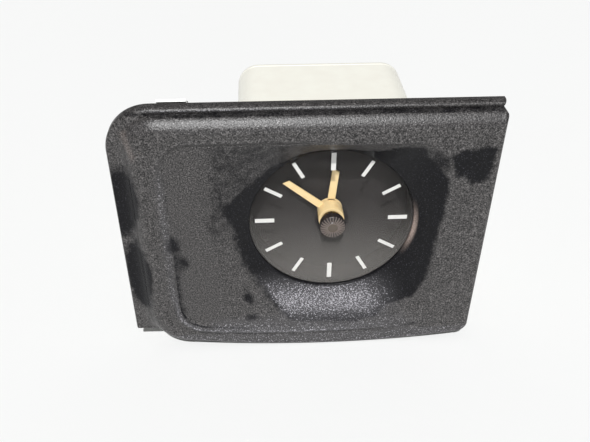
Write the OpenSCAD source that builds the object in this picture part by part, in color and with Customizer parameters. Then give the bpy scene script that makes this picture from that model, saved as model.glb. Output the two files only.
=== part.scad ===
// Car dashboard clock: a moulded fascia with a dial set back in it, a push-to-set knob and a boxed movement.
// All sizes are in millimetres. Seen from the front, X runs to the right and Z runs up; Y runs backwards.
// The origin is on the arbor axis, in the plane of the fascia's rear seat and fixing bosses.

/* [Fascia] */
// radius of the round opening for the lens
aperture_r = 24.7; // [22:0.1:28]
// width of the sloping surround to the left of the opening
scoop_l = 10.4; // [8:0.2:14]
// width of the sloping surround to the right of the opening
scoop_r = 6.9; // [5:0.1:10]
// width of the sloping surround above the opening
scoop_t = 5.8; // [5:0.1:9]
// width of the sloping surround below the opening
scoop_b = 12; // [9:0.5:16]
// width of the flat pad to the left of the surround
pad_w = 12.3; // [10:0.1:16]
// width of the flat border at the left
border_l = 9.6; // [7:0.2:14]
// width of the flat border at the right
border_r = 13.8; // [12.5:0.1:18]
// width of the flat border at the top
border_t = 7.7; // [6.5:0.1:12]
// width of the flat border at the bottom, at its ends
border_b = 5.2; // [3.8:0.1:8]
// how far the bottom edge bows down in the middle
bottom_bow = 3.2; // [1:0.1:4]
// how far the bottom edge of the pocket bows down in the middle
pocket_bow = 1.4; // [0.5:0.1:2]
// height of the front face over the rear seat
face_rise = 7; // [6.6:0.1:9]
// depth of the pocket in the front face
pocket_d = 0.9; // [0.5:0.1:1.2]
// height of the opening's front edge over the rear seat
throat_rise = 0.7; // [0.5:0.1:1.2]
// wall of the moulding
fascia_wall = 2.4; // [2:0.1:2.6]
// thickness of the lip at the top and left
lip_th = 3; // [2:0.1:3.5]
// width of the lip beyond the panel's left side
lip_l = 5.4; // [3:0.2:8]
// width of the lip beyond the panel's top
lip_t = 1.8; // [1:0.1:3]
// radius of the lip's top left corner
lip_corner = 12.5; // [10:0.5:15]
// radius of the rounded shoulder at the top and left
shoulder_r = 4; // [1.5:0.1:4.2]
// radius of the edge at the right and bottom
edge_r = 1.2; // [0.6:0.1:2]

/* [Fixings of the fascia] */
// how far the fixing bosses lie inside the panel's right side
boss_in_x = 6.6; // [6:0.1:7.6]
// how far the fixing bosses lie inside the panel's top
boss_in_z = 7.2; // [6.6:0.1:8.6]
// outer radius of every boss
boss_r = 3.4; // [3:0.1:3.6]
// radius of the fixing bosses' pilot holes
boss_hole_r = 1.5; // [1.2:0.05:1.8]
// width of a retaining clip
clip_w = 8; // [6:0.5:10]
// thickness of the clips' spring steel
clip_th = 0.5; // [0.4:0.05:0.8]
// length of the tongues that carry the clips, behind the seat
tongue_l = 9; // [7:0.5:12]

/* [Lens and dial] */
// thickness of the lens
lens_th = 1.2; // [1:0.1:1.8]
// thickness of the lens's flange
lens_flange_th = 0.7; // [0.5:0.1:0.8]
// gap around the lens in the opening
lens_clear = 0.25; // [0.15:0.05:0.4]
// radius of the knob's hole in the lens
lens_hole_r = 5.15; // [4.8:0.05:6]
// distance of the hour marks from the edge of the opening
mark_edge = 1.7; // [1.2:0.1:4]
// length of the hour marks
mark_l = 5.8; // [3:0.1:8]
// width of the hour marks
mark_w = 1.1; // [0.6:0.1:1.4]
// width of the marks at 12, 3, 6 and 9
mark_wide = 1.4; // [1.1:0.1:2]
// room for the hands between lens and dial
hand_room = 7; // [6.8:0.1:9]
// thickness of the dial
dial_th = 1; // [0.8:0.1:1.6]

/* [Hands and knob] */
// how far the minute hand reaches over the inner ends of the marks
minute_over = 0.1; // [-3:0.1:3]
// how much shorter the hour hand is than the minute hand
hour_short = 3.3; // [2:0.1:6]
// width of both hands at the hub
hand_w = 2.4; // [1.8:0.1:2.6]
// how much narrower the minute hand is at its tip
minute_taper = 0.5; // [0:0.1:0.8]
// how much narrower the hour hand is at its tip
hour_taper = 0.2; // [0:0.1:0.8]
// thickness of both hands
hand_th = 0.5; // [0.3:0.05:0.6]
// angle of the minute hand as photographed, clockwise from 12
minute_deg = -51; // [-180:1:180]
// angle of the hour hand as photographed, clockwise from 12
hour_deg = 6; // [-180:1:180]
// radius of both hubs
hub_r = 3.9; // [3.7:0.1:4.4]
// radius of the setting knob
knob_r = 3.8; // [3.4:0.1:4]
// how far the knob stands in front of the lens
knob_out = 3.7; // [2.5:0.1:5]
// travel of the knob when it is pushed
knob_travel = 1.5; // [0.8:0.1:1.6]
// radius of the setting stem
stem_r = 0.8; // [0.6:0.05:0.9]

/* [Case] */
// depth of the case without its cover
case_depth = 50; // [46:0.5:60]
// wall of the case
case_wall = 1.9; // [1.6:0.1:2.4]
// outer radius of the case's corners
case_corner = 7; // [5.5:0.1:8]
// thickness of the rear cover
cover_th = 2; // [1.6:0.1:3]
// thickness of the case's ears
ear_th = 3; // [2:0.1:4]
// how far the terminal blades stand out of the cover
blade_out = 8; // [6:0.5:12]
// width of a terminal blade
blade_w = 6.3; // [4.8:0.1:6.3]
// thickness of a terminal blade
blade_th = 0.8; // [0.5:0.1:1]
// radius of the lamp holder's barrel
lamp_r = 5.6; // [4.5:0.1:6]
// turn of the lamp holder between locked and free
lamp_turn = 60; // [45:1:90]

/* [Movement] */
// thickness of the two plates
plate_th = 1.5; // [1:0.1:2]
// room for the motion wheels between dial and front plate
motion_room = 4.2; // [4:0.1:6]
// distance between the plates
plate_gap = 11.5; // [11.2:0.1:16]
// radius of the pillars
pillar_r = 2; // [1.6:0.1:2.4]
// thickness of the wheels
wheel_th = 0.8; // [0.5:0.05:0.9]
// module of the driving pinion and the minute wheel
mod_a = 0.3; // [0.28:0.01:0.34]
// module of the centre wheel and the third pinion
mod_c = 0.3; // [0.28:0.01:0.32]
// module of the third wheel and the rotor pinion
mod_d = 0.25; // [0.22:0.01:0.26]
// outer radius of the hollow minute pipe
pipe_r = 1.5; // [1.3:0.05:1.7]
// outer radius of the hour pipe
hour_pipe_r = 2.3; // [2.1:0.05:2.5]
// radius of the rotor's magnet
magnet_r = 2.8; // [2:0.1:3.2]
// length of the coil
coil_l = 20; // [14:0.5:22]
// radius of the coil
coil_r = 3.6; // [3:0.1:4]
// distance from the rear plate to the circuit board
board_gap = 10; // [8:0.5:11]
// thickness of the circuit board
board_th = 1.6; // [1:0.1:2]

/* [Clearances] */
// radial clearance of everything that turns or slides
run_c = 0.05; // [0.02:0.01:0.08]
// gap between pieces that are fixed to one another
seat_c = 0.02; // [0.01:0.01:0.04]
// clear gap around pieces that pass by
pass_c = 0.3; // [0.2:0.05:0.5]

/* [Hidden] */
$fn = 96;
e = 0.02;
panel_l = aperture_r + scoop_l + pad_w + border_l;
panel_r = aperture_r + scoop_r + border_r;
panel_t = aperture_r + scoop_t + border_t;
panel_b = aperture_r + scoop_b + border_b;
boss_x = panel_r - boss_in_x;
boss_z = panel_t - boss_in_z;
mark_r0 = aperture_r - mark_edge - mark_l;
minute_l = mark_r0 + minute_over;
hour_l = minute_l - hour_short;
pocket_l = panel_l - border_l;
pocket_r = panel_r - border_r;
pocket_t = panel_t - border_t;
pocket_b = panel_b - border_b;
corner_tl = lip_corner - 3.5;
corner_bl = 12;
corner_tr = 0.9;
corner_br = 3.5;
lip_bottom = -(panel_b - 2.7);
y_face = -face_rise;
y_floor = y_face + pocket_d;
y_throat = -throat_rise;
y_land = y_throat + 1;
y_mark = y_land + lens_flange_th;
y_lens = y_mark - lens_th;
y_dial = y_mark + hand_room;
y_dial_back = y_dial + dial_th;
y_fp = y_dial_back + motion_room;
y_fp2 = y_fp + plate_th;
y_rp = y_fp2 + plate_gap;
y_rp2 = y_rp + plate_th;
y_board = y_rp2 + board_gap;
y_board2 = y_board + board_th;
y_cover = y_mark + case_depth;
y_rear = y_cover + cover_th;
lens_r = aperture_r - lens_clear;
flange_r = aperture_r + 2.5;
cup_r = aperture_r + 0.7;
cup_in = aperture_r - 0.5;
bore_r = cup_r + 0.2;
case_half = bore_r + case_wall;
inner_half = bore_r;
ear_x = case_half + 6;
ear_z = 16;
plate_half = inner_half - 0.4;
col = case_half - 5.2;
corner_screw = case_half - 6.8;
// hands and knob
y_min0 = y_mark + 3.8;
y_hub0 = y_mark - 0.3;
y_hub1 = y_min0 + hand_th + 0.3;
y_hr0 = y_hub1 + 0.5;
y_hr1 = y_hr0 + hand_th + 0.2;
y_knob0 = y_lens - knob_out;
y_knob1 = y_hub0 - knob_travel - 0.1;
nose_r = knob_r - 1;
y_nose = y_hub0 - 0.4;
y_stem0 = y_knob0 + 1.4;
collar_th = 1;
y_collar = y_rp2 + 0.05;
y_stem1 = y_collar + collar_th + 0.25;
// wheels: teeth, places and levels
n_cannon = 12;
n_minute = 36;
n_mpin = 10;
n_hour = 40;
n_centre = 50;
n_tpin = 10;
n_third = 50;
n_rpin = 10;
d_motion = mod_a * (n_cannon + n_minute) / 2;
mod_b = 2 * d_motion / (n_mpin + n_hour);
d_third = mod_c * (n_centre + n_tpin) / 2;
d_rotor = mod_d * (n_third + n_rpin) / 2;
a_motion = 90;
a_third = 210;
a_rotor = 250;
p_motion = d_motion * [cos(a_motion), sin(a_motion)];
p_third = d_third * [cos(a_third), sin(a_third)];
p_rotor = p_third + d_rotor * [cos(a_rotor), sin(a_rotor)];
y_hw = y_dial_back + 0.6;
y_mw = y_hw + 2;
y_cw = y_fp2 + 0.8;
y_tw = y_fp2 + 4.3;
y_mag = y_tw + wheel_th + 1.9;
mag_th = 3;
y_stator = y_mag + 0.5;
stator_th = 2;
y_core = y_stator + stator_th;
core_th = 1.5;
post_r = 0.6;
third_r = 0.5;
rotor_arbor_r = 0.4;
// fixed places, each set in from the edge of the plates
pillar_x = plate_half - 6.2;
pillar_z = plate_half - 13.2;
pillar_low = -(plate_half - 17.2);
pillars = [[-pillar_x, pillar_z], [pillar_x, pillar_z],
    [-pillar_x - 1, pillar_low], [pillar_x + 1, pillar_low]];
spacer_x = plate_half - 6.4;
spacer_low = -(plate_half - 11.5);
spacers = [[-spacer_x, 2], [spacer_x, 2], [-spacer_x, spacer_low], [spacer_x, spacer_low]];
port = [plate_half - 13.7, plate_half - 11.2];
port_r = 4.6;
coil_z = -(plate_half - coil_r - 0.9);
leg_w = 4;
coil_x = -1;
leg_gap = 1.5;
leg_x0 = coil_x - coil_l / 2 - leg_gap - leg_w;
leg_x1 = coil_x + coil_l / 2 + leg_gap + leg_w;
posts = [[leg_x0 + leg_w / 2, coil_z], [leg_x1 - leg_w / 2, coil_z]];
leaf_foot = 10.5;
board_half = plate_half - 4.2;
board_top = 5;
lamp = [plate_half - 13.2, plate_half - 11.2];
blade_x = -(plate_half - 12.2);
blade_pitch = 10;
blades = [for (i = [0:2]) [blade_x, 6 - i * blade_pitch]];
clip_x = -(panel_l - 8);
clip_z = 4;
tongue_top_in = 5;
tongue_side_in = 6;
barb_h = 3.3;
tongue_th = 2;
lug_out = 1.2;
lug_w = 2.4;
fascia_black = [0.10, 0.10, 0.11];
steel = [0.75, 0.76, 0.78];
brass = [0.80, 0.66, 0.32];
ivory = [0.90, 0.86, 0.74];
black = [0.07, 0.07, 0.07];
cream = [0.93, 0.82, 0.55];

// Helpers

// a 2D shape in X and Z, made solid from y0 to y1
module slab(y0, y1) {
  translate([0, y1, 0])
    rotate([90, 0, 0])
      linear_extrude(y1 - y0) children();
}

// a round bar along Y at place p
module bar(r, y0, y1, p = [0, 0]) {
  translate([p[0], y1, p[1]])
    rotate([90, 0, 0])
      cylinder(r = r, h = y1 - y0);
}

// a cone along Y at place p, r0 at y0 and r1 at y1
module cone(r0, r1, y0, y1, p = [0, 0]) {
  translate([p[0], y1, p[1]])
    rotate([90, 0, 0])
      cylinder(r1 = r1, r2 = r0, h = y1 - y0);
}

function arc(cx, cz, r, a0, a1, n) = [for (i = [0:n])
    let (a = a0 + (a1 - a0) * i / n) [cx + r * cos(a), cz + r * sin(a)]];

// square with exact round corners
module square_round(h, r) {
  square([2 * h, 2 * (h - r)], center = true);
  square([2 * (h - r), 2 * h], center = true);
  for (sx = [-1, 1], sz = [-1, 1])
    translate([sx * (h - r), sz * (h - r)])
      circle(r = r);
}

// outline of the raised panel, drawn in by i all round
module panel_2d(i) {
  bx0 = -panel_l + corner_bl;
  bx1 = panel_r - corner_br;
  mid = (bx0 + bx1) / 2;
  half = (bx1 - bx0) / 2;
  polygon(concat(
    arc(panel_r - corner_tr - i, panel_t - corner_tr - i, corner_tr, 0, 90, 4),
    arc(-panel_l + corner_tl, panel_t - corner_tl, corner_tl - i, 90, 180, 16),
    arc(-panel_l + corner_bl, -panel_b + corner_bl, corner_bl - i, 180, 262, 16),
    [for (k = [-9:9]) let (t = k / 10) [mid + t * half, -panel_b - bottom_bow * (1 - t * t) + i]],
    arc(panel_r - corner_br, -panel_b + corner_br, corner_br - i, 278, 360, 10)));
}

// trapezium teeth, with a tooth at angle ph
module gear2(n, m, ph, bore) {
  p = 360 / n;
  r0 = m * (n / 2 - 1.25);
  r1 = m * (n / 2 + 0.75);
  difference() {
    polygon([for (i = [0:n - 1], k = [[r0, -0.25], [r1, -0.1], [r1, 0.1], [r0, 0.25]])
      let (a = ph + (i + k[1]) * p) k[0] * [cos(a), sin(a)]]);
    circle(r = bore);
  }
}

module gear(n, m, ph, bore, y0, y1, p = [0, 0]) {
  translate([p[0], 0, p[1]])
    slab(y0, y1) gear2(n, m, ph, bore);
}

// a pan-head screw with its head behind, entering forwards from y
module screw_in(p, y, r, l, head_r, head_h) {
  difference() {
    union() {
      bar(r, y - l, y + e, p);
      bar(head_r, y, y + head_h, p);
    }
    translate([p[0], y + head_h, p[1]])
      cube([head_r * 1.3, head_h, 0.25 * head_r], center = true);
  }
}

// Fascia and its clips

module fascia_shell() {
  difference() {
    union() {
      intersection() {
        slab(y_face, 0) panel_2d(0);
        shoulder_across();
        shoulder_up();
      }
      slab(-lip_th, 0) lip_shape();
    }
    slab(y_floor + fascia_wall, 1) panel_2d(fascia_wall);
  }
}

// section in Y and Z that rounds the front edges at top and bottom
module shoulder_across() {
  z0 = -panel_b - bottom_bow - 0.01;
  translate([-panel_l - 5, 0, 0])
    rotate([90, 0, 90])
      linear_extrude(panel_l + panel_r + 10) {
        translate([y_face + shoulder_r, z0]) square([1 - y_face, panel_t - z0 + 0.01]);
        translate([y_face, z0 + edge_r]) square([shoulder_r + 1, panel_t - z0 - edge_r - shoulder_r]);
        translate([y_face + shoulder_r, panel_t - shoulder_r]) circle(r = shoulder_r);
        translate([y_face + edge_r, z0 + edge_r]) circle(r = edge_r);
        translate([y_face + edge_r, z0]) square([shoulder_r + 1, edge_r + 1]);
      }
}

// section in X and Y that rounds the front edges at left and right
module shoulder_up() {
  x0 = -panel_l - 0.01;
  x1 = panel_r + 0.01;
  translate([0, 0, -panel_b - 10])
    linear_extrude(panel_t + panel_b + 20) {
      translate([x0, y_face + shoulder_r]) square([x1 - x0, 1 - y_face]);
      translate([x0 + shoulder_r, y_face]) square([x1 - x0 - shoulder_r - edge_r, shoulder_r + 1]);
      translate([x0 + shoulder_r, y_face + shoulder_r]) circle(r = shoulder_r);
      translate([x1 - edge_r, y_face + edge_r]) circle(r = edge_r);
      translate([x1 - edge_r - 1, y_face + edge_r]) square([edge_r + 1, shoulder_r + 1]);
    }
}

// outline of the pocket, its bottom edge bowed as the panel's is
module pocket_2d() {
  bx0 = -pocket_l + 9;
  bx1 = pocket_r - 10;
  mid = (bx0 + bx1) / 2;
  half = (bx1 - bx0) / 2;
  polygon(concat(
    arc(pocket_r - 10, pocket_t - 10, 10, 0, 90, 12),
    arc(-pocket_l + 7, pocket_t - 7, 7, 90, 180, 12),
    arc(-pocket_l + 9, -pocket_b + 9, 9, 180, 266, 12),
    [for (k = [-9:9]) let (t = k / 10) [mid + t * half, -pocket_b - pocket_bow * (1 - t * t)]],
    arc(pocket_r - 10, -pocket_b + 10, 10, 274, 360, 12)));
}

module lip_shape() {
  polygon(concat(
    arc(-panel_l - lip_l + lip_corner, panel_t + lip_t - lip_corner, lip_corner, 90, 180, 20),
    [[-panel_l - lip_l, lip_bottom], [-panel_l + 6, lip_bottom], [-panel_l + 6, panel_t - 6],
     [panel_r - 0.4, panel_t - 6], [panel_r - 0.4, panel_t + lip_t]]));
}

// the sloping surround, grown by g for its outer skin
module scoop(g, y0, y1, rt) {
  hull() {
    slab(y0, y0 + e) {
      for (sz = [[pocket_t, 1], [-pocket_b, -1]]) {
        translate([-aperture_r - scoop_l + 3 + 0.05, sz[0] - sz[1] * 3.05]) circle(r = 3 + g, $fn = 24);
        translate([pocket_r - 10.05, sz[0] - sz[1] * 10.05]) circle(r = 10 + g, $fn = 48);
      }
    }
    slab(y1 - e, y1) circle(r = rt, $fn = 96);
  }
}

module tongue_top() {
  translate([clip_x, y_floor + 1, panel_t - tongue_top_in])
    cube([clip_w + 1, tongue_l - y_floor - 1, tongue_th]);
}

module tongue_right() {
  translate([panel_r - tongue_side_in, y_floor + 1, clip_z])
    cube([tongue_th, tongue_l - y_floor - 1, clip_w + 1]);
}

module fascia() {
  color(fascia_black)
    difference() {
      union() {
        fascia_shell();
        scoop(0.5, y_floor + 0.3, y_land, flange_r + 1);
        for (sx = [-1, 1], sz = [-1, 1]) {
          bar(boss_r, y_floor + 1, 0, [sx * boss_x, sz * boss_z]);
          bar(boss_r, y_floor + 1, y_mark - seat_c, [sx * ear_x, sz * ear_z]);
        }
        tongue_top();
        tongue_right();
      }
      slab(y_face - 1, y_floor) pocket_2d();
      scoop(0, y_floor - e, y_throat + 0.1, aperture_r + 0.1);
      bar(aperture_r, y_floor - 1, y_land + 1);
      for (sx = [-1, 1], sz = [-1, 1]) {
        bar(boss_hole_r, y_floor + fascia_wall, 1, [sx * boss_x, sz * boss_z]);
        bar(1.1, y_floor + fascia_wall + 0.2, y_mark + 1, [sx * ear_x, sz * ear_z]);
      }
    }
}

// folded spring strip that grips a 2 mm tongue, drawn in Y and Z from the tongue's lower face
module clip_profile() {
  t = clip_th;
  h = tongue_th + 2 * seat_c;
  polygon([[1.5, -t - seat_c], [tongue_l + seat_c + t, -t - seat_c], [tongue_l + seat_c + t, h + t - seat_c],
    [tongue_l - 1, h + t - seat_c], [4.2, h + t + barb_h], [3.6, h + t + barb_h - 0.5],
    [tongue_l - 1.4, h - seat_c],
    [tongue_l + seat_c, h - seat_c], [tongue_l + seat_c, -seat_c], [1.5, -seat_c]]);
}

module retaining_clips() {
  color(steel) {
    translate([clip_x + 0.5, 0, panel_t - tongue_top_in])
      rotate([90, 0, 90])
        linear_extrude(clip_w) clip_profile();
    translate([panel_r - tongue_side_in, 0, clip_z + 0.5 + clip_w])
      rotate([0, 90, 0])
        rotate([90, 0, 90])
          linear_extrude(clip_w) clip_profile();
  }
}

// Lens, dial and hands

module lens() {
  color([0.85, 0.9, 0.92, 0.3])
    difference() {
      union() {
        bar(lens_r, y_lens, y_mark);
        bar(flange_r, y_land + seat_c, y_mark);
      }
      bar(lens_hole_r, y_lens - 1, y_mark + 1);
    }
}

module hour_marks() {
  color([0.95, 0.95, 0.93])
    for (i = [0:11])
      rotate([0, i * 30, 0])
        translate([-(i % 3 == 0 ? mark_wide : mark_w) / 2, y_mark, mark_r0])
          cube([i % 3 == 0 ? mark_wide : mark_w, 0.06, mark_l]);
}

module dial_cup() {
  color(black)
    difference() {
      bar(cup_r, y_mark + seat_c, y_dial_back);
      bar(cup_in, y_mark - 1, y_dial);
      bar(hour_pipe_r + pass_c, y_dial - 1, y_dial_back + 1);
      slab(y_dial - 1, y_dial_back + 1)
        intersection() {
          difference() {
            circle(r = cup_in - 0.4);
            circle(r = cup_in - 1.6);
          }
          translate([0, cup_in]) square([20, 12], center = true);
        }
    }
}

module hand_blade(l, slant, taper) {
  tip = (hand_w - taper) / 2;
  polygon([[-hand_w / 2, 1], [hand_w / 2, 1], [tip, l - slant], [-tip, l + slant]]);
}

module minute_hand() {
  color(cream)
    difference() {
      union() {
        bar(hub_r, y_hub0, y_hub1);
        rotate([0, minute_deg, 0])
          slab(y_min0, y_min0 + hand_th) hand_blade(minute_l, 0.5, minute_taper);
      }
      bar(knob_r - 0.5, y_hub0 - 1, y_min0 - 0.4);
      bar(pipe_r + seat_c, y_hub0, y_hub1 + 1);
    }
}

module hour_hand() {
  color(cream)
    difference() {
      union() {
        bar(hub_r, y_hr0, y_hr1);
        rotate([0, hour_deg, 0])
          slab(y_hr0, y_hr0 + hand_th) hand_blade(hour_l, 0.5, hour_taper);
      }
      bar(hour_pipe_r - 0.35 + seat_c, y_hr0 - 1, y_hr1 + 1);
    }
}

// Setting knob, stem, collar and leaf spring

module set_knob() {
  color(black)
    difference() {
      union() {
        cone(knob_r - 0.6, knob_r, y_knob0, y_knob0 + 0.6);
        bar(knob_r, y_knob0 + 0.6 - e, y_knob1);
        bar(nose_r, y_knob1 - e, y_nose);
      }
      bar(stem_r + seat_c, y_stem0, y_nose + 1);
      bar(knob_r - 1.7, y_knob0 - 1, y_knob0 + 0.5);
    }
}

module setting_stem() {
  color(steel)
    bar(stem_r, y_stem0 + seat_c, y_stem1);
}

module stem_collar() {
  color(brass)
    difference() {
      bar(2.4, y_collar, y_collar + collar_th);
      bar(stem_r + run_c, y_collar - 1, y_collar + collar_th + 1);
    }
}

module set_spring() {
  t = 0.25;
  y0 = y_rp2 + seat_c;
  y1 = y_stem1 + seat_c;
  color(steel)
    difference() {
      translate([0, 0, -1.5])
        linear_extrude(3)
          polygon([[leaf_foot + 2.5, y0], [leaf_foot - 2.5, y0], [3, y1], [-2.2, y1],
            [-2.2, y1 + t], [3, y1 + t],
            [leaf_foot - 2.4, y0 + t], [leaf_foot + 2.5, y0 + t]]);
      bar(1 + seat_c, y0 - 1, y0 + 1, [leaf_foot, 0]);
    }
}

module spring_screw() {
  color(steel)
    screw_in([leaf_foot, 0], y_rp2 + 0.25 + 2 * seat_c, 1, plate_th, 1.5, 0.6);
}

// Case and rear cover

module case_shell() {
  color(ivory)
    difference() {
      union() {
        slab(y_mark + seat_c, y_cover) square_round(case_half, case_corner);
        for (sx = [-1, 1], sz = [-1, 1]) {
          bar(boss_r + 0.6, y_mark, y_mark + ear_th, [sx * ear_x, sz * ear_z]);
          translate([sx * (case_half + ear_x) / 2 - sx * 0.5, y_mark + ear_th / 2, sz * ear_z])
            cube([ear_x - case_half + 1, ear_th, 2 * boss_r + 1.2], center = true);
        }
      }
      bar(bore_r, y_mark - 1, y_dial_back + seat_c);
      bar(cup_in - 0.6, y_mark - 1, y_fp + 1);
      difference() {
        slab(y_fp, y_cover + 1) square_round(inner_half, case_corner - case_wall);
        for (sx = [-1, 1], sz = [-1, 1])
          bar(3.2, y_cover - 9, y_cover + 2, [sx * col, sz * col]);
      }
      for (sx = [-1, 1], sz = [-1, 1]) {
        bar(0.9, y_cover - 7, y_cover + 1, [sx * col, sz * col]);
        bar(1, y_fp - 6, y_fp + 1, [sx * corner_screw, sz * corner_screw]);
        bar(1.6, y_mark - 1, y_mark + ear_th + 1, [sx * ear_x, sz * ear_z]);
      }
    }
}

module module_screws() {
  color(steel)
    for (sx = [-1, 1], sz = [-1, 1])
      screw_in([sx * ear_x, sz * ear_z], y_mark + ear_th + seat_c, 1.08, ear_th + 4, 2.8, 1.6);
}

module rear_cover() {
  color(ivory)
    difference() {
      slab(y_cover + seat_c, y_rear) square_round(case_half, case_corner);
      for (sx = [-1, 1], sz = [-1, 1])
        bar(1.2, y_cover - 1, y_rear + 1, [sx * col, sz * col]);
      bar(lamp_r + run_c, y_cover - 1, y_rear + 1, lamp);
      translate([lamp[0], y_cover, lamp[1]])
        rotate([0, lamp_turn, 0])
          cube([2 * (lamp_r + lug_out + pass_c), 3 * cover_th, lug_w + 2 * pass_c], center = true);
      for (b = blades)
        translate([b[0], y_cover, b[1]])
          cube([blade_w + 2 * pass_c, 3 * cover_th, blade_th + 2 * pass_c], center = true);
    }
}

module cover_screws() {
  color(steel)
    for (sx = [-1, 1], sz = [-1, 1])
      screw_in([sx * col, sz * col], y_rear + seat_c, 0.88, cover_th + 5, 2, 1.2);
}

// Frame of the movement

module plate_shape(z0) {
  difference() {
    intersection() {
      square_round(plate_half, case_corner - case_wall);
      translate([-plate_half, z0]) square([2 * plate_half, plate_half - z0]);
    }
    translate(port) circle(r = port_r);
    circle(r = pipe_r + run_c);
    translate(p_third) circle(r = third_r + run_c);
    translate(p_rotor) circle(r = rotor_arbor_r + run_c);
  }
}

module front_plate() {
  color(brass)
    difference() {
      slab(y_fp + seat_c, y_fp2) plate_shape(-plate_half);
      bar(post_r + seat_c, y_fp - 1, y_fp2 + 1, p_motion);
      for (p = pillars)
        bar(1 + seat_c, y_fp - 1, y_fp2 + 1, p);
      for (p = posts)
        bar(1 + seat_c, y_fp - 1, y_fp2 + 1, p);
      for (sx = [-1, 1], sz = [-1, 1])
        bar(1.2, y_fp - 1, y_fp2 + 1, [sx * corner_screw, sz * corner_screw]);
    }
}

module rear_plate() {
  color(brass)
    difference() {
      slab(y_rp + seat_c, y_rp2) plate_shape(coil_z + coil_r + 1.2);
      for (p = pillars)
        bar(1.1, y_rp - 1, y_rp2 + 1, p);
      for (p = spacers)
        bar(0.9 + seat_c, y_rp - 1, y_rp2 + 1, p);
      bar(1 + seat_c, y_rp - 1, y_rp2 + 1, [leaf_foot, 0]);
    }
}

module plate_pillars() {
  color(brass)
    for (p = pillars) {
      difference() {
        bar(pillar_r, y_fp2 + seat_c, y_rp, p);
        bar(0.9, y_rp - 5, y_rp + 1, p);
      }
      bar(1, y_fp + seat_c, y_fp2 + 2 * seat_c, p);
    }
}

module pillar_screws() {
  color(steel)
    for (p = pillars)
      screw_in(p, y_rp2 + seat_c, 0.88, plate_th + 4, 1.9, 1);
}

module movement_screws() {
  color(steel)
    for (sx = [-1, 1], sz = [-1, 1])
      screw_in([sx * corner_screw, sz * corner_screw], y_fp2 + seat_c, 0.98, plate_th + 5, 2, 1);
}

// Wheels

module centre_wheel() {
  color(brass)
    difference() {
      union() {
        bar(pipe_r, y_min0 - 0.3, y_rp2);
        gear(n_cannon, mod_a, a_motion, stem_r + run_c, y_mw - 0.3, y_fp - 0.4);
        bar(pipe_r + 0.5, y_fp2 + 0.2, y_cw + e);
        gear(n_centre, mod_c, a_third, stem_r + run_c, y_cw, y_cw + wheel_th);
      }
      bar(stem_r + run_c, y_min0 - 1, y_rp2 + 1);
    }
}

module hour_wheel() {
  color(brass)
    difference() {
      union() {
        gear(n_hour, mod_b, a_motion, pipe_r + run_c, y_hw, y_hw + wheel_th);
        bar(hour_pipe_r, y_hr1 + seat_c, y_hw + e);
        bar(hour_pipe_r - 0.35, y_hr0, y_hw);
      }
      bar(pipe_r + run_c, y_hr0 - 1, y_hw + wheel_th + 1);
    }
}

module minute_wheel() {
  color(brass) {
    gear(n_minute, mod_a, a_motion + 180 + 180 / n_minute, post_r + run_c, y_mw, y_mw + wheel_th, p_motion);
    gear(n_mpin, mod_b, a_motion + 180 + 180 / n_mpin, post_r + run_c, y_hw - 0.2, y_mw + e, p_motion);
  }
}

module minute_wheel_post() {
  color(steel)
    bar(post_r, y_hw - 0.3, y_fp2, p_motion);
}

module third_wheel() {
  color(brass) {
    bar(third_r, y_fp, y_rp2, p_third);
    gear(n_tpin, mod_c, a_third + 180 + 180 / n_tpin, third_r - 0.1,
      y_cw - 0.4, y_cw + wheel_th + 0.4, p_third);
    gear(n_third, mod_d, a_rotor, third_r - 0.1, y_tw, y_tw + wheel_th, p_third);
  }
}

module rotor() {
  color([0.35, 0.36, 0.38]) {
    bar(rotor_arbor_r, y_fp, y_rp2, p_rotor);
    gear(n_rpin, mod_d, a_rotor + 180 + 180 / n_rpin, rotor_arbor_r - 0.1,
      y_tw - 0.4, y_tw + wheel_th + 0.4, p_rotor);
    bar(magnet_r, y_mag, y_mag + mag_th, p_rotor);
  }
}

// Stepping motor

module stator() {
  top = p_rotor[1] + magnet_r + 2.4;
  color([0.5, 0.52, 0.55])
    difference() {
      slab(y_stator, y_core) {
        difference() {
          polygon([[leg_x0, top], [leg_x0, coil_z - 2], [leg_x0 + leg_w, coil_z - 2],
            [leg_x0 + leg_w, coil_z + coil_r + 1],
            [leg_x1 - leg_w, coil_z + coil_r + 1], [leg_x1 - leg_w, coil_z - 2], [leg_x1, coil_z - 2],
            [leg_x1, top - 2.6], [-2, top - 2.6], [-3.5, top]]);
          translate(p_rotor) circle(r = magnet_r + 0.4);
          translate(p_third) circle(r = n_tpin * mod_c / 2 + 0.8);
        }
      }
      for (p = posts)
        bar(1, y_stator - 1, y_core + 1, p);
    }
}

module stator_posts() {
  color(brass)
    for (p = posts) {
      difference() {
        bar(1.8, y_fp2 + seat_c, y_stator - seat_c, p);
        bar(0.9, y_stator - 4, y_stator + 1, p);
      }
      bar(1, y_fp + seat_c, y_fp2 + 2 * seat_c, p);
    }
}

module stator_screws() {
  color(steel)
    for (p = posts)
      screw_in(p, y_core + core_th + 2 * seat_c, 0.88, core_th + stator_th + 3, 1.7, 0.9);
}

module coil_core() {
  color([0.45, 0.47, 0.5])
    difference() {
      translate([leg_x0, y_core + seat_c, coil_z - 1.5]) cube([leg_x1 - leg_x0, core_th, 3]);
      for (p = posts)
        bar(1, y_core - 1, y_core + core_th + 1, p);
    }
}

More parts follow.
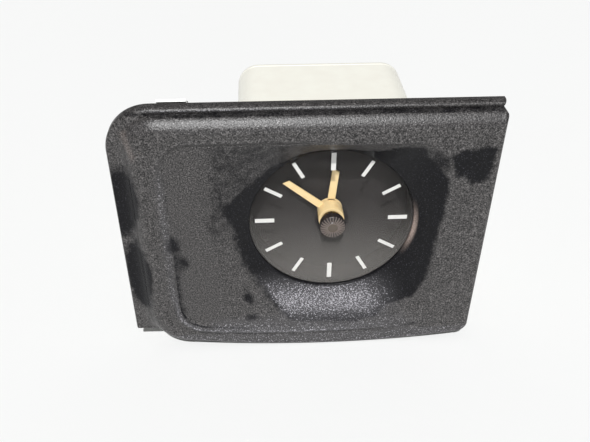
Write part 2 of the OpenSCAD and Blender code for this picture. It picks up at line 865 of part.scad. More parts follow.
module coil_bobbin() {
  xm = (leg_x0 + leg_x1) / 2;
  ym = y_core + seat_c + core_th / 2;
  color([0.85, 0.85, 0.8])
    difference() {
      union() {
        translate([xm - coil_l / 2, ym, coil_z]) rotate([0, 90, 0]) cylinder(r = 2.3, h = coil_l);
        for (s = [-1, 1])
          translate([xm + s * (coil_l / 2 - 0.4) - 0.4, ym, coil_z])
            rotate([0, 90, 0]) cylinder(r = coil_r, h = 0.8);
      }
      translate([leg_x0, y_core, coil_z - 1.5 - seat_c])
        cube([leg_x1 - leg_x0, core_th + 2 * seat_c, 3 + 2 * seat_c]);
    }
}

module coil_winding() {
  xm = (leg_x0 + leg_x1) / 2;
  ym = y_core + seat_c + core_th / 2;
  color([0.72, 0.42, 0.22])
    translate([xm - coil_l / 2 + 0.8 + seat_c, ym, coil_z])
      rotate([0, 90, 0])
        difference() {
          cylinder(r = coil_r - 0.3, h = coil_l - 1.6 - 2 * seat_c);
          translate([0, 0, -1]) cylinder(r = 2.3 + seat_c, h = coil_l + 2);
        }
}

// Circuit board and what it carries

module circuit_board() {
  color([0.16, 0.36, 0.22])
    difference() {
      translate([-board_half, y_board + seat_c, -board_half])
        cube([2 * board_half, board_th, board_half + board_top]);
      for (p = spacers)
        bar(1.1, y_board - 1, y_board2 + 1, p);
      for (b = blades)
        if (b[1] > 5)
          translate([b[0], y_board, b[1]])
            cube([blade_w + 1, 3 * board_th, 4], center = true);
    }
}

module board_spacers() {
  color(brass)
    for (p = spacers) {
      difference() {
        bar(1.8, y_rp2 + seat_c, y_board, p);
        bar(0.9, y_board - 5, y_board + 1, p);
      }
      bar(0.9, y_rp + seat_c, y_rp2 + 2 * seat_c, p);
    }
}

module board_screws() {
  color(steel)
    for (p = spacers)
      screw_in(p, y_board2 + 2 * seat_c, 0.88, board_th + 4, 1.9, 1);
}

module quartz_can() {
  color(steel) {
    translate([4, y_board2 + 2 * seat_c + 1.5, -8])
      rotate([0, 90, 0]) cylinder(r = 1.5, h = 8);
    for (s = [-0.5, 0.5])
      translate([2, y_board2 + seat_c + 1.35, -8 + s - 0.15]) cube([2.2, 0.3, 0.3]);
  }
}

module board_parts() {
  color([0.12, 0.12, 0.13]) {
    translate([-4, y_board2 + 2 * seat_c, 3 - board_half]) cube([9, 3, 6]);
    translate([board_half - 11, y_board2 + 2 * seat_c + 3, 4 - board_half])
      rotate([0, 90, 0]) cylinder(r = 3, h = 6);
    translate([-6, y_board2 + 2 * seat_c, -3]) cube([5, 1.6, 3]);
  }
}

// Terminals and lamp

module terminal_blades() {
  color([0.78, 0.7, 0.45])
    for (b = blades) {
      y0 = b[1] > 5 ? y_cover - 3 : y_board2 + 2 * seat_c;
      translate([b[0] - blade_w / 2, y0, b[1] - blade_th / 2])
        cube([blade_w, y_rear + blade_out - y0, blade_th]);
      translate([b[0] - blade_w / 2, y_cover - 1, b[1] - blade_th / 2 - 1.5])
        cube([blade_w, 1, blade_th + 3]);
    }
}

module lamp_holder() {
  color([0.15, 0.15, 0.16])
    difference() {
      union() {
        bar(lamp_r, y_cover - 4, y_rear + 0.1, lamp);
        bar(lamp_r + 1.6, y_rear + 0.05, y_rear + 1.6, lamp);
        translate([lamp[0], y_rear + 3, lamp[1]]) cube([2 * lamp_r - 1, 4, 2.4], center = true);
        translate([lamp[0], y_cover - 0.8, lamp[1]])
          cube([2 * (lamp_r + lug_out), 1.4, lug_w], center = true);
      }
      bar(2.4, y_cover - 5, y_cover, lamp);
    }
}

module lamp_bulb() {
  color([0.95, 0.95, 0.9, 0.5])
    translate([lamp[0], 0, lamp[1]]) {
      bar(2.4 - seat_c, y_cover - 8, y_cover - seat_c);
      translate([0, y_cover - 8, 0]) sphere(r = 2.4 - seat_c);
    }
}

// Drawing

fascia();
retaining_clips();
lens();
hour_marks();
dial_cup();
minute_hand();
hour_hand();
set_knob();
setting_stem();
stem_collar();
set_spring();
spring_screw();
case_shell();
module_screws();
rear_cover();
cover_screws();
front_plate();
rear_plate();
plate_pillars();
pillar_screws();
movement_screws();
centre_wheel();
minute_wheel();
minute_wheel_post();
hour_wheel();
third_wheel();
rotor();
stator();
stator_posts();
stator_screws();
coil_core();
coil_bobbin();
coil_winding();
circuit_board();
board_spacers();
board_screws();
quartz_can();
board_parts();
terminal_blades();
lamp_holder();
lamp_bulb();
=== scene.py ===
"""Dashboard clock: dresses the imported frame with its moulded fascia, lens, marks, hands, knob and case."""

import math

import bmesh
import bpy
from mathutils import Matrix, Vector


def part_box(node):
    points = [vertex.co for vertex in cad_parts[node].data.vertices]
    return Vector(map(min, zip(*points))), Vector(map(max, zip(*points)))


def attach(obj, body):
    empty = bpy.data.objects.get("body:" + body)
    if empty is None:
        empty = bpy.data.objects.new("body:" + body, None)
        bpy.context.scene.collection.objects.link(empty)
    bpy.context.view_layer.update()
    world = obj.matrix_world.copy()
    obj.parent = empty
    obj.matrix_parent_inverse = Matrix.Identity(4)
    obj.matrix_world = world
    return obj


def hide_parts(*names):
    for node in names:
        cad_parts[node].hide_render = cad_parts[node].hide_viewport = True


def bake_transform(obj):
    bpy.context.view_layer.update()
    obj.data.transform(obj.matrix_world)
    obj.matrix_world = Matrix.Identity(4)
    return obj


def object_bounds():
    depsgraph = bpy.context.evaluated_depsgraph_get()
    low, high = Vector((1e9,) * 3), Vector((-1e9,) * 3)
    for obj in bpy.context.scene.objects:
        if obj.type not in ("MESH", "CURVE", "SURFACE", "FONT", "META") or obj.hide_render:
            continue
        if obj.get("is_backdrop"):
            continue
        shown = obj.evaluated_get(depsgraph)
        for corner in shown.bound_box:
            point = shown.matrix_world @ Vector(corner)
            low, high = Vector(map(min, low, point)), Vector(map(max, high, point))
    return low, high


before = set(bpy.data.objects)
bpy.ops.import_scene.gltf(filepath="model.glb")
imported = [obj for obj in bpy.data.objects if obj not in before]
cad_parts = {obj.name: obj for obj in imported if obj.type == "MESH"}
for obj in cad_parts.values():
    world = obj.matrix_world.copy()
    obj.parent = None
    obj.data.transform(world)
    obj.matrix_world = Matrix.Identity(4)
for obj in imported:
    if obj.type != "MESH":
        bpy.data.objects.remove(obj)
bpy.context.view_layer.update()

bl_info = {
    "name": "Dashboard Clock",
    "version": (1, 0, 0),
    "blender": (4, 5, 0),
    "location": "3D View > Sidebar > Clock",
    "description": "Builds the visible pieces of a dashboard clock on its packed frame",
    "category": "Object",
}

MM = 0.001


def box_mm(node):
    """Lowest and highest corner of a CAD node, in millimetres."""
    low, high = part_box(node)
    return [v / MM for v in low], [v / MM for v in high]


FASCIA_LOW, FASCIA_HIGH = box_mm("fascia")
LENS_LOW, LENS_HIGH = box_mm("lens")
KNOB_LOW, KNOB_HIGH = box_mm("set_knob")
CASE_LOW, CASE_HIGH = box_mm("case_shell")
COVER_LOW, COVER_HIGH = box_mm("rear_cover")
MARK_LOW, MARK_HIGH = box_mm("hour_marks")


# Sizes and finishes that a user would change


def length(label, text, default, low, high):
    """A length in metres for the panel."""
    return bpy.props.FloatProperty(name=label, description=text, default=default, min=low, max=high,
                                   unit="LENGTH", precision=5)


def colour(label, text, default):
    """A linear colour for the panel."""
    return bpy.props.FloatVectorProperty(name=label, description=text, default=default, size=3,
                                         subtype="COLOR", min=0.0, max=1.0)


class ClockSizes(bpy.types.PropertyGroup):
    """Sizes of the dressed pieces, in metres."""

    shoulder: length("Shoulder radius", "Rounding of the panel's top and left front edges", 0.004, 0.0005, 0.0042)
    edge: length("Edge radius", "Rounding of the panel's right and bottom front edges", 0.0012, 0.0003, 0.002)
    groove: length("Groove depth", "Depth of the groove between the shoulder and the top lip", 0.0002, 0.0, 0.001)
    mark_width: length("Hour mark width", "Width of a plain hour mark", 0.0011, 0.0005, 0.002)
    mark_wide: length("Quarter mark width", "Width of the marks at the quarters", 0.0014, 0.0005, 0.003)
    hand_width: length("Hand width", "Width of both hands at the hub", 0.0024, 0.001, 0.003)
    knob_ribs: bpy.props.IntProperty(
        name="Knob ribs", description="Ribs round the face of the setting knob", default=24, min=8, max=40)
    case_edge: length("Case edge radius", "Rounding of the rear cover's outer edge", 0.0009, 0.0002, 0.0018)


class ClockFinishes(bpy.types.PropertyGroup):
    """Colours of the finishes, linear."""

    plastic: colour("Fascia plastic", "Clean grained plastic of the fascia", (0.006, 0.006, 0.0072))
    dust_and_painted_light: colour("Dust film", "Dry film over the unwiped plastic", (0.064, 0.0605, 0.0595))
    dial: colour("Dial", "Matt ground of the dial", (0.0098, 0.0074, 0.0072))
    mark: colour("Hour marks", "White print of the hour marks", (0.70, 0.695, 0.67))
    hand: colour("Hands", "Cream paint of the hands, gone yellow", (0.84, 0.64, 0.335))
    ivory: colour("Case ivory", "Ivory plastic of the case and rear cover", (0.985, 0.955, 0.865))


# Mesh helpers


def angles(count):
    """Angles that divide a full turn."""
    return [2 * math.pi * k / count for k in range(count)]


def corners():
    """Signs along X and Z of the four corners."""
    return [(sx, sz) for sx in (-1, 1) for sz in (-1, 1)]


class Shape:
    """Points in millimetres and faces, gathered for one mesh."""

    def __init__(self):
        self.points, self.faces = [], []

    def loft(self, rings, joined=False):
        """Skins rings of equally many points; the last joins the first, or else each end gets a face."""
        start, count = len(self.points), len(rings[0])
        for ring in rings:
            self.points.extend(ring)
        for i in range(len(rings) if joined else len(rings) - 1):
            a, b = start + i * count, start + (i + 1) % len(rings) * count
            for k in range(count):
                m = (k + 1) % count
                self.faces.append((a + k, a + m, b + m, b + k))
        if not joined:
            for first in (start, len(self.points) - count):
                self.faces.append(tuple(range(first, first + count)))
        return self

    def turn(self, profile, count, cx=0.0, cz=0.0):
        """Turns a closed profile of (radius, y) round an axis along Y; radius 0 makes a pole."""
        index = []
        for r, y in profile:
            first = len(self.points)
            if r == 0:
                index.append([first] * count)
                self.points.append((cx, y, cz))
            else:
                index.append(list(range(first, first + count)))
                self.points.extend((cx + r * math.cos(a), y, cz + r * math.sin(a)) for a in angles(count))
        for a, b in zip(index, index[1:] + index[:1]):
            if a[0] == a[1] and b[0] == b[1]:
                continue
            for k in range(count):
                m = (k + 1) % count
                self.faces.append(tuple(dict.fromkeys((a[k], a[m], b[m], b[k]))))
        return self

    def box(self, low, high, bevel):
        """A box whose edges along Y and at both ends are cut by a small bevel."""
        (x0, y0, z0), (x1, y1, z1), b = low, high, bevel

        def ring(y, i):
            return [(x0 + b + i, y, z0 + i), (x1 - b - i, y, z0 + i), (x1 - i, y, z0 + b + i),
                    (x1 - i, y, z1 - b - i), (x1 - b - i, y, z1 - i), (x0 + b + i, y, z1 - i),
                    (x0 + i, y, z1 - b - i), (x0 + i, y, z0 + b + i)]

        return self.loft([ring(y0, b), ring(y0 + b, 0.0), ring(y1 - b, 0.0), ring(y1, b)])

    def mesh(self, name):
        """The gathered shape as a mesh, its normals turned outwards."""
        mesh = bpy.data.meshes.new(name)
        mesh.from_pydata([(x * MM, y * MM, z * MM) for x, y, z in self.points], [], self.faces)
        shape = bmesh.new()
        shape.from_mesh(mesh)
        bmesh.ops.recalc_face_normals(shape, faces=shape.faces)
        shape.to_mesh(mesh)
        shape.free()
        mesh.validate()
        mesh.update()
        return mesh


def mesh_from(shape, name):
    """A new mesh from a bmesh, which is freed."""
    mesh = bpy.data.meshes.new(name)
    shape.to_mesh(mesh)
    shape.free()
    return mesh


def placed(name, data):
    """A new object at the origin of the scene."""
    thing = bpy.data.objects.new(name, data)
    bpy.context.scene.collection.objects.link(thing)
    return thing


def soften(mesh, sharp=35.0):
    """Shades a mesh smooth but for edges sharper than the angle in degrees."""
    mesh.shade_smooth()
    mesh.set_sharp_from_angle(angle=math.radians(sharp))


def clock_piece(name, mesh, *materials, sharp=35.0):
    """A piece of the clock from its mesh and finishes."""
    piece = placed(name, mesh)
    for material in materials:
        mesh.materials.append(material)
    soften(mesh, sharp)
    return piece


def evaluated_mesh(thing):
    """The plain mesh of an object with its modifiers applied."""
    graph = bpy.context.evaluated_depsgraph_get()
    return bpy.data.meshes.new_from_object(thing.evaluated_get(graph))


def cut_out(piece, tool_mesh):
    """Takes a tool mesh out of a piece by an exact boolean and keeps the result as its plain mesh."""
    tool = placed("cutter", tool_mesh)
    modifier = piece.modifiers.new("cut", "BOOLEAN")
    modifier.operation = "DIFFERENCE"
    modifier.solver = "EXACT"
    modifier.object = tool
    result = evaluated_mesh(piece)
    piece.modifiers.remove(modifier)
    piece.data = result
    bpy.data.objects.remove(tool)
    if len(result.polygons) < 20:
        raise RuntimeError("a cut failed on " + piece.name)


# Node trees


MIX_COLOUR_A, MIX_COLOUR_B, MIX_COLOUR_RESULT = 6, 7, 2
GRAIN_DEPTH = 0.00006
GROUPS = {}


class Nodes:
    """A node tree with short calls for its nodes; a value is plain or the output of another node."""

    def __init__(self, tree):
        self.tree = tree

    def put(self, socket, value):
        """Links an output to a socket or sets a plain value on it."""
        if isinstance(value, bpy.types.NodeSocket):
            self.tree.links.new(value, socket)
        else:
            socket.default_value = (*value, 1.0) if socket.type == "RGBA" else value

    def fill(self, sockets, **values):
        """Puts values on sockets by name; an underscore stands for a space."""
        for label, value in values.items():
            self.put(sockets[label.replace("_", " ")], value)

    def add(self, kind, **values):
        """A new node with values on its named inputs."""
        node = self.tree.nodes.new(kind)
        self.fill(node.inputs, **values)
        return node

    def maths(self, operation, a, b, clamp=False):
        """The result of a Math node."""
        node = self.add("ShaderNodeMath")
        node.operation = operation
        node.use_clamp = clamp
        self.put(node.inputs[0], a)
        self.put(node.inputs[1], b)
        return node.outputs[0]

    def plus(self, a, b):
        """The sum of two values."""
        return self.maths("ADD", a, b)

    def minus(self, a, b):
        """The first value less the second."""
        return self.maths("SUBTRACT", a, b)

    def times(self, a, b, clamp=False):
        """The product of two values, held between 0 and 1 if clamped."""
        return self.maths("MULTIPLY", a, b, clamp)

    def place(self):
        """Object coordinates."""
        return self.add("ShaderNodeTexCoord").outputs["Object"]

    def noise(self, place, scale, detail=2.0, roughness=0.5):
        """The value of a Noise Texture."""
        return self.add("ShaderNodeTexNoise", Vector=place, Scale=scale, Detail=detail, Roughness=roughness).outputs[0]

    def ramp(self, value, low, high):
        """A smooth step of the value from 0 at low to 1 at high."""
        node = self.add("ShaderNodeMapRange", Value=value, From_Min=low, From_Max=high)
        node.interpolation_type = "SMOOTHSTEP"
        return node.outputs[0]

    def blend(self, mask, a, b):
        """Colour a where the mask is 0 and b where it is 1."""
        node = self.add("ShaderNodeMix")
        node.data_type = "RGBA"
        for index, value in ((0, mask), (MIX_COLOUR_A, a), (MIX_COLOUR_B, b)):
            self.put(node.inputs[index], value)
        return node.outputs[MIX_COLOUR_RESULT]

    def blend_value(self, mask, a, b):
        """Value a where the mask is 0 and b where it is 1."""
        return self.plus(a, self.times(mask, b - a))

    def group(self, build, **values):
        """The outputs of a shared shader group, which its function builds once."""
        if build not in GROUPS:
            GROUPS[build] = build()
        node = self.add("ShaderNodeGroup")
        node.node_tree = GROUPS[build]
        self.fill(node.inputs, **values)
        return node.outputs


class Finish(Nodes):
    """A material with its Principled BSDF."""

    def __init__(self, name):
        self.material = bpy.data.materials.new(name)
        self.material.use_nodes = True
        super().__init__(self.material.node_tree)
        self.shader = self.tree.nodes["Principled BSDF"]

    def wear(self, **values):
        """Puts values on the shader's named inputs and returns the material."""
        self.fill(self.shader.inputs, **values)
        return self.material

    def attribute(self, name):
        """The value of one of the mesh's own attributes."""
        node = self.add("ShaderNodeAttribute")
        node.attribute_name = name
        return node.outputs["Fac"]

    def bump(self, height, strength):
        """The normal of a Bump node on a grain's height."""
        return self.add("ShaderNodeBump", Height=height, Strength=strength, Distance=GRAIN_DEPTH).outputs["Normal"]

    def mix_shaders(self, mask, a, b):
        """Shader node a where the mask is 0 and b where it is 1."""
        node = self.add("ShaderNodeMixShader")
        for socket, value in zip(node.inputs, (mask, a.outputs[0], b.outputs[0])):
            self.put(socket, value)
        return node


class Repeat(Nodes):
    """A Geometry Nodes tree that sets copies of a shape."""

    def bar(self, size, middle):
        """A box of a size round its middle, each given along X, Y and Z."""
        size, middle = (self.add("ShaderNodeCombineXYZ", X=x, Y=y, Z=z).outputs[0] for x, y, z in (size, middle))
        cube = self.add("GeometryNodeMeshCube", Size=size)
        return self.add("GeometryNodeTransform", Geometry=cube.outputs["Mesh"], Translation=middle).outputs[0]

    def copies(self, shape, mesh, material, rotation=(0.0, 0.0, 0.0)):
        """Copies of a shape on a mesh's points, made real and given the finish."""
        spots = self.add("GeometryNodeMeshToPoints", Mesh=mesh)
        place = self.add("GeometryNodeInstanceOnPoints", Points=spots.outputs[0], Instance=shape, Rotation=rotation)
        real = self.add("GeometryNodeRealizeInstances", Geometry=place.outputs[0])
        return self.add("GeometryNodeSetMaterial", Geometry=real.outputs[0], Material=material).outputs[0]

    def round_copies(self, shape, count, start, material):
        """Copies of a shape set round the Y axis."""
        line = self.add("GeometryNodeMeshLine", Count=count, Offset=(0.0, 0.0, 0.0))
        share = self.maths("DIVIDE", self.add("GeometryNodeInputIndex").outputs[0], count)
        angle = self.plus(self.times(share, 2 * math.pi), start)
        turn = self.add("ShaderNodeCombineXYZ", Y=angle)
        rotation = self.add("FunctionNodeEulerToRotation", Euler=turn.outputs[0])
        return self.copies(shape, line.outputs["Mesh"], material, rotation.outputs[0])

    def bake(self, name, values):
        """The plain mesh that the tree makes with its inputs set."""
        carrier = placed(name + " carrier", bpy.data.meshes.new(name + " carrier"))
        modifier = carrier.modifiers.new("nodes", "NODES")
        modifier.node_group = self.tree
        for item in self.tree.interface.items_tree:
            if item.in_out == "INPUT" and item.name in values:
                modifier[item.identifier] = values[item.name]
        mesh = evaluated_mesh(carrier)
        mesh.name = name
        bpy.data.objects.remove(carrier)
        return mesh


def new_tree(kind, name, inputs, outputs):
    """A node group, the outputs of its entry and the inputs of its end; inputs are names with their defaults."""
    tree = bpy.data.node_groups.new(name, kind)
    geometry = kind == "GeometryNodeTree"
    if geometry:
        tree.interface.new_socket("Geometry", in_out="INPUT", socket_type="NodeSocketGeometry")
    for label, value in inputs.items():
        sort = "Object" if isinstance(value, bpy.types.Object) else "Int" if isinstance(value, int) else "Float"
        socket = tree.interface.new_socket(label, in_out="INPUT", socket_type="NodeSocket" + sort)
        if sort != "Object":
            socket.default_value = value
    for label in outputs:
        tree.interface.new_socket(label, in_out="OUTPUT",
                                  socket_type="NodeSocketGeometry" if geometry else "NodeSocketFloat")
    entry, leave = tree.nodes.new("NodeGroupInput"), tree.nodes.new("NodeGroupOutput")
    return (Repeat if geometry else Nodes)(tree), entry.outputs, leave.inputs


def repeat_tree(name, inputs):
    """A Geometry Nodes tree with named inputs and a Geometry output."""
    return new_tree("GeometryNodeTree", name, inputs, ("Geometry",))


# Shader node groups shared by the finishes


def grain_group():
    """Moulded grain: a height for bump, its fine noise, speckles, sparkles and a broad unevenness."""
    group, entry, leave = new_tree("ShaderNodeTree", "moulded grain", {"Grain Size": 0.0004},
                                   ("Height", "Fine", "Speckle", "Sparkle", "Uneven"))
    place = group.place()
    scale = group.maths("DIVIDE", 1.0, entry["Grain Size"])
    cells = group.add("ShaderNodeTexVoronoi", Vector=place, Scale=scale)
    fine = group.noise(place, group.times(scale, 1.4), 3.0)
    group.fill(leave, Height=group.minus(fine, group.times(cells.outputs["Distance"], 0.55)), Fine=fine,
               Speckle=group.ramp(fine, 0.3, 0.7), Sparkle=group.ramp(fine, 0.58, 0.72),
               Uneven=group.noise(place, 190.0, 3.0))
    return group.tree


def dust_group():
    """Dust film: a cover from 0 to 1 that breaks up with noise along its edges."""
    group, entry, leave = new_tree("ShaderNodeTree", "dust film", {"Wiped": 0.0, "Amount": 1.0}, ("Cover",))
    place = group.place()
    blotch = group.noise(place, 380.0, 4.0, 0.6)
    speck = group.noise(place, 1500.0)
    ragged = group.plus(entry["Wiped"], group.times(group.minus(blotch, 0.5), 0.8))
    film = group.minus(1.0, group.times(group.ramp(ragged, 0.26, 0.8), 0.97))
    film = group.times(film, group.plus(0.72, group.times(speck, 0.55)))
    group.fill(leave, Cover=group.times(film, entry["Amount"], clamp=True))
    return group.tree


def wear_group():
    """Handling marks: rubbed spots as one mask."""
    group, entry, leave = new_tree("ShaderNodeTree", "handling marks", {"Amount": 0.5}, ("Mask",))
    spots = group.ramp(group.noise(group.place(), 420.0, 5.0, 0.65), 0.5, 0.75)
    group.fill(leave, Mask=group.times(spots, entry["Amount"], clamp=True))
    return group.tree


# Finishes


def shade(tone, share):
    """A colour made darker or lighter by a share."""
    return tuple(min(1.0, v * share) for v in tone)


def fascia_plastic(finishes):
    """Black grained plastic under a dust film, its wiped, dusty and rubbed places from the mesh's attributes, which
    also carry painted shade, painted highlights and painted glints.
    """
    finish = Finish("grained fascia plastic")
    grain = finish.group(grain_group, Grain_Size=0.0005)
    speckle, sparkle = grain["Speckle"], grain["Sparkle"]
    # The dust film thins where the plastic is wiped, and where shade is painted
    cover = finish.group(dust_group, Amount=0.86, Wiped=finish.attribute("wiped"))["Cover"]
    film = finish.blend(speckle, shade(finishes.dust_and_painted_light, 0.05), shade(finishes.dust_and_painted_light, 1.85))
    # The grain's sparkle specks, lighter in the colour of the film and of the bare plastic, are painted glints
    film = finish.blend(finish.times(sparkle, 0.7), film, shade(finishes.dust_and_painted_light, 4.2))
    bare = finish.blend(finish.times(sparkle, 0.8), finishes.plastic, (0.05, 0.05, 0.06))
    tone = finish.blend(cover, bare, film)
    # Loose dust and painted light: bright dots and a lighter tone give painted glints and highlights on the shoulder,
    # the slope below the dial, the pocket's ridge and the lip's crest
    amount = finish.attribute("settled")
    edge = finish.minus(0.62, finish.times(amount, 0.16))
    dots = finish.times(finish.minus(grain["Fine"], edge), 7.0, clamp=True)
    dust_and_glint_tone = finish.blend(dots, (0.075, 0.073, 0.077), (0.42, 0.41, 0.44))
    dust_and_glint_cover = finish.maths("MAXIMUM", amount, finish.times(dots, finish.ramp(amount, 0.0, 0.4)))
    tone = finish.blend(dust_and_glint_cover, tone, dust_and_glint_tone)
    # Pale brownish tone: rubbed wear on the top-left ridge, and a painted highlight on the throat's right edge
    rubbed = finish.times(finish.attribute("rubbed"), finish.plus(0.45, finish.times(speckle, 0.55)), clamp=True)
    rough = finish.minus(finish.blend_value(cover, 0.25, 0.36), finish.times(sparkle, 0.1))
    return finish.wear(Base_Color=finish.blend(rubbed, tone, (0.42, 0.33, 0.29)), Roughness=rough,
                       Specular_IOR_Level=finish.blend_value(cover, 0.13, 0.37),
                       Normal=finish.bump(grain["Height"], 1.0))


def plain_plastic(name, tone, low, high, grain_size=0.0006, strength=0.15):
    """Moulded plastic with a faint grain and handling marks."""
    finish = Finish(name)
    grain = finish.group(grain_group, Grain_Size=grain_size)
    worn = finish.group(wear_group, Amount=0.6)["Mask"]
    return finish.wear(Base_Color=finish.blend(grain["Uneven"], shade(tone, 0.93), shade(tone, 1.05)),
                       Roughness=finish.blend_value(worn, low, high), Normal=finish.bump(grain["Height"], strength))


def bare_metal(name, tone, roughness):
    """Drawn or turned metal with rubbed spots."""
    finish = Finish(name)
    worn = finish.group(wear_group, Amount=0.8)["Mask"]
    return finish.wear(Base_Color=finish.blend(worn, tone, shade(tone, 0.72)), Metallic=1.0,
                       Roughness=finish.blend_value(worn, roughness, roughness + 0.2))


def paint(name, tone, stain, roughness):
    """Flat paint with slight yellowing in patches."""
    finish = Finish(name)
    worn = finish.group(wear_group, Amount=0.9)["Mask"]
    return finish.wear(Base_Color=finish.blend(worn, tone, stain),
                       Roughness=finish.blend_value(worn, roughness, roughness + 0.15))


def bulb_glass():
    """Clear glass with faint handling marks."""
    finish = Finish("bulb glass")
    worn = finish.group(wear_group, Amount=0.6)["Mask"]
    return finish.wear(Transmission_Weight=1.0, IOR=1.5, Roughness=finish.blend_value(worn, 0.03, 0.12))


def lens_plastic(name, bend):
    """Clear moulded lens with a thin film of dust and painted reflection, lighter towards the bottom."""
    finish = Finish(name)
    worn = finish.group(wear_group, Amount=0.5)["Mask"]
    finish.wear(Base_Color=(1.0, 1.0, 1.0), Transmission_Weight=1.0, IOR=bend,
                Roughness=finish.blend_value(worn, 0.0, 0.015))
    place = finish.place()
    # Painted reflection: the film grows lighter towards the bottom of the lens, over a thin dust film everywhere
    dust_and_reflection_ramp = finish.ramp(finish.add("ShaderNodeSeparateXYZ", Vector=place).outputs["Z"], 0.0105, -0.0265)
    speck = finish.noise(place, 900.0, 3.0)
    film = finish.times(finish.plus(0.1, finish.times(dust_and_reflection_ramp, 0.9)), finish.plus(0.8, finish.times(speck, 0.4)))
    film = finish.times(film, 0.073, clamp=True)
    dust_and_painted_light = finish.add("ShaderNodeBsdfDiffuse", Color=(0.84, 0.805, 0.755))
    rays = finish.add("ShaderNodeLightPath").outputs
    passing = finish.maths("MAXIMUM", rays["Is Shadow Ray"], rays["Is Diffuse Ray"])
    filmed = finish.mix_shaders(film, finish.shader, dust_and_painted_light)
    final = finish.mix_shaders(passing, filmed, finish.add("ShaderNodeBsdfTransparent"))
    finish.put(finish.tree.nodes["Material Output"].inputs["Surface"], final.outputs[0])
    return finish.material


# Fascia: every ring has one point for each column, upwards on the right side and on round


FACE = FASCIA_LOW[1]
FLOOR = FACE + 0.9
WALL = 2.4
APERTURE, COLLAR = 24.7, 28.2
MOUTH_DEPTH = -0.78
SLOPE_STEPS = 22
LIP_END = 0.568
COLUMN_COUNTS = (40, 14, 72, 20, 48, 30, 72, 16)
RIGHT, ROUND_TR, TOP, ROUND_TL, LEFT, ROUND_BL, BOTTOM, ROUND_BR = range(8)
COLUMNS = [(side, k / count) for side, count in enumerate(COLUMN_COUNTS) for k in range(count)]


def smooth(value):
    """A value held between 0 and 1 with soft ends."""
    value = max(0.0, min(1.0, value))
    return value * value * (3 - 2 * value)


def bell(distance, width):
    """A soft hump round zero."""
    return math.exp(-(distance / width) ** 2)


def outline(l, r, t, b, tl, bl, tr, br, bow=0.0):
    """A closed outline in X and Z from its four sides, four corner radii and the bow of its bottom."""
    rounds = {ROUND_TR: (r - tr, t - tr, tr, 0), ROUND_TL: (l + tl, t - tl, tl, 90),
              ROUND_BL: (l + bl, b + bl, bl, 180), ROUND_BR: (r - br, b + br, br, 270)}
    runs = {RIGHT: ((r, b + br), (r, t - tr)), TOP: ((r - tr, t), (l + tl, t)),
            LEFT: ((l, t - tl), (l, b + bl)), BOTTOM: ((l + bl, b), (r - br, b))}
    points = []
    for side, k in COLUMNS:
        if side in rounds:
            cx, cz, radius, start = rounds[side]
            a = math.radians(start + 90 * k)
            points.append((cx + radius * math.cos(a), cz + radius * math.sin(a)))
        else:
            (x0, z0), (x1, z1) = runs[side]
            x, z = x0 + (x1 - x0) * k, z0 + (z1 - z0) * k
            if side == BOTTOM:
                z -= bow * (1 - (2 * k - 1) ** 2)
            points.append((x, z))
    return points


SURROUND = outline(-35.1, 30.8, 29.7, -33.9, 6.0, 6.0, 9.5, 9.5, 1.2)
POCKET_FOOT = outline(-47.1, 31.3, 30.2, -34.5, 7.0, 8.0, 10.0, 10.0, 1.3)
POCKET_EDGE = outline(-47.4, 31.6, 30.5, -36.7, 7.0, 9.0, 10.0, 10.0, 1.4)[::6]
BACK_SKIN = outline(-35.6, 31.3, 30.2, -36.3, 6.0, 6.0, 9.5, 9.5)


def side_shares():
    """For each column, how much it belongs to the top, left, bottom and right edges."""
    shares = []
    for side, k in COLUMNS:
        k = smooth(k)
        shares.append({RIGHT: (0, 0, 0, 1), TOP: (1, 0, 0, 0), LEFT: (0, 1, 0, 0), BOTTOM: (0, 0, 1, 0),
                       ROUND_TR: (k, 0, 0, 1 - k), ROUND_TL: (1 - k, k, 0, 0),
                       ROUND_BL: (0, 1 - k, k, 0), ROUND_BR: (0, 0, 1 - k, k)}[side])
    return shares


def step_share(side, x):
    """How much of the pocket's step shows in a column: it runs out towards the right."""
    if side in (RIGHT, ROUND_TR, ROUND_BR):
        return 0.0
    if side == TOP:
        return smooth((8.0 - x) / 30.0)
    return smooth((27.0 - x) / 14.0) if side == BOTTOM else 1.0


SHARES = side_shares()
STEP = [step_share(side, x) for (side, _), (x, _) in zip(COLUMNS, POCKET_FOOT)]


def stepped(y, plain):
    """A depth for each column: y where the step shows, plain where it has run out."""
    return [y * w + plain * (1 - w) for w in STEP]


def step_depths(y, bottom, plain):
    """A depth for each column as above, with its own value along the bottom."""
    return [s + (q - s) * b for s, q, (_, _, b, _) in zip(stepped(y, plain), stepped(bottom, plain), SHARES)]


def panel_in(left, right, top, bottom):
    """The panel's outline moved in at each side."""
    return outline(-57.0 + left, FASCIA_HIGH[0] - right, 38.2 - top, -41.9 + bottom, max(9.0 - left, 0.5),
                   max(12.0 - bottom, 0.5), max(0.9 - top * 0.3, 0.3), max(3.5 - bottom, 0.5), 3.2)


def pocket_out(d, low):
    """The pocket's edge moved out, more so at the left, with its own distance at the bottom."""
    soft = 2.4 * d if d > 0 else d
    return outline(-47.4 - soft, 31.6 + d, 30.5 + 1.5 * d, -36.7 - low, 7.0 + soft, 9.0 + soft, 10.0 + d, 10.0 + d, 1.4)


def ring_at(radius):
    """A circle round the dial, its points in line with the surround's."""
    return [(x * radius / math.hypot(x, z), z * radius / math.hypot(x, z)) for x, z in SURROUND]


def between(a, b, s):
    """Points part of the way from one outline to another."""
    return [(p[0] + (q[0] - p[0]) * s, p[1] + (q[1] - p[1]) * s) for p, q in zip(a, b)]


def level(points, y):
    """Outline points given a depth, one for all or one each."""
    if isinstance(y, (int, float)):
        return [(x, y, z) for x, z in points]
    return [(x, d, z) for (x, z), d in zip(points, y)]


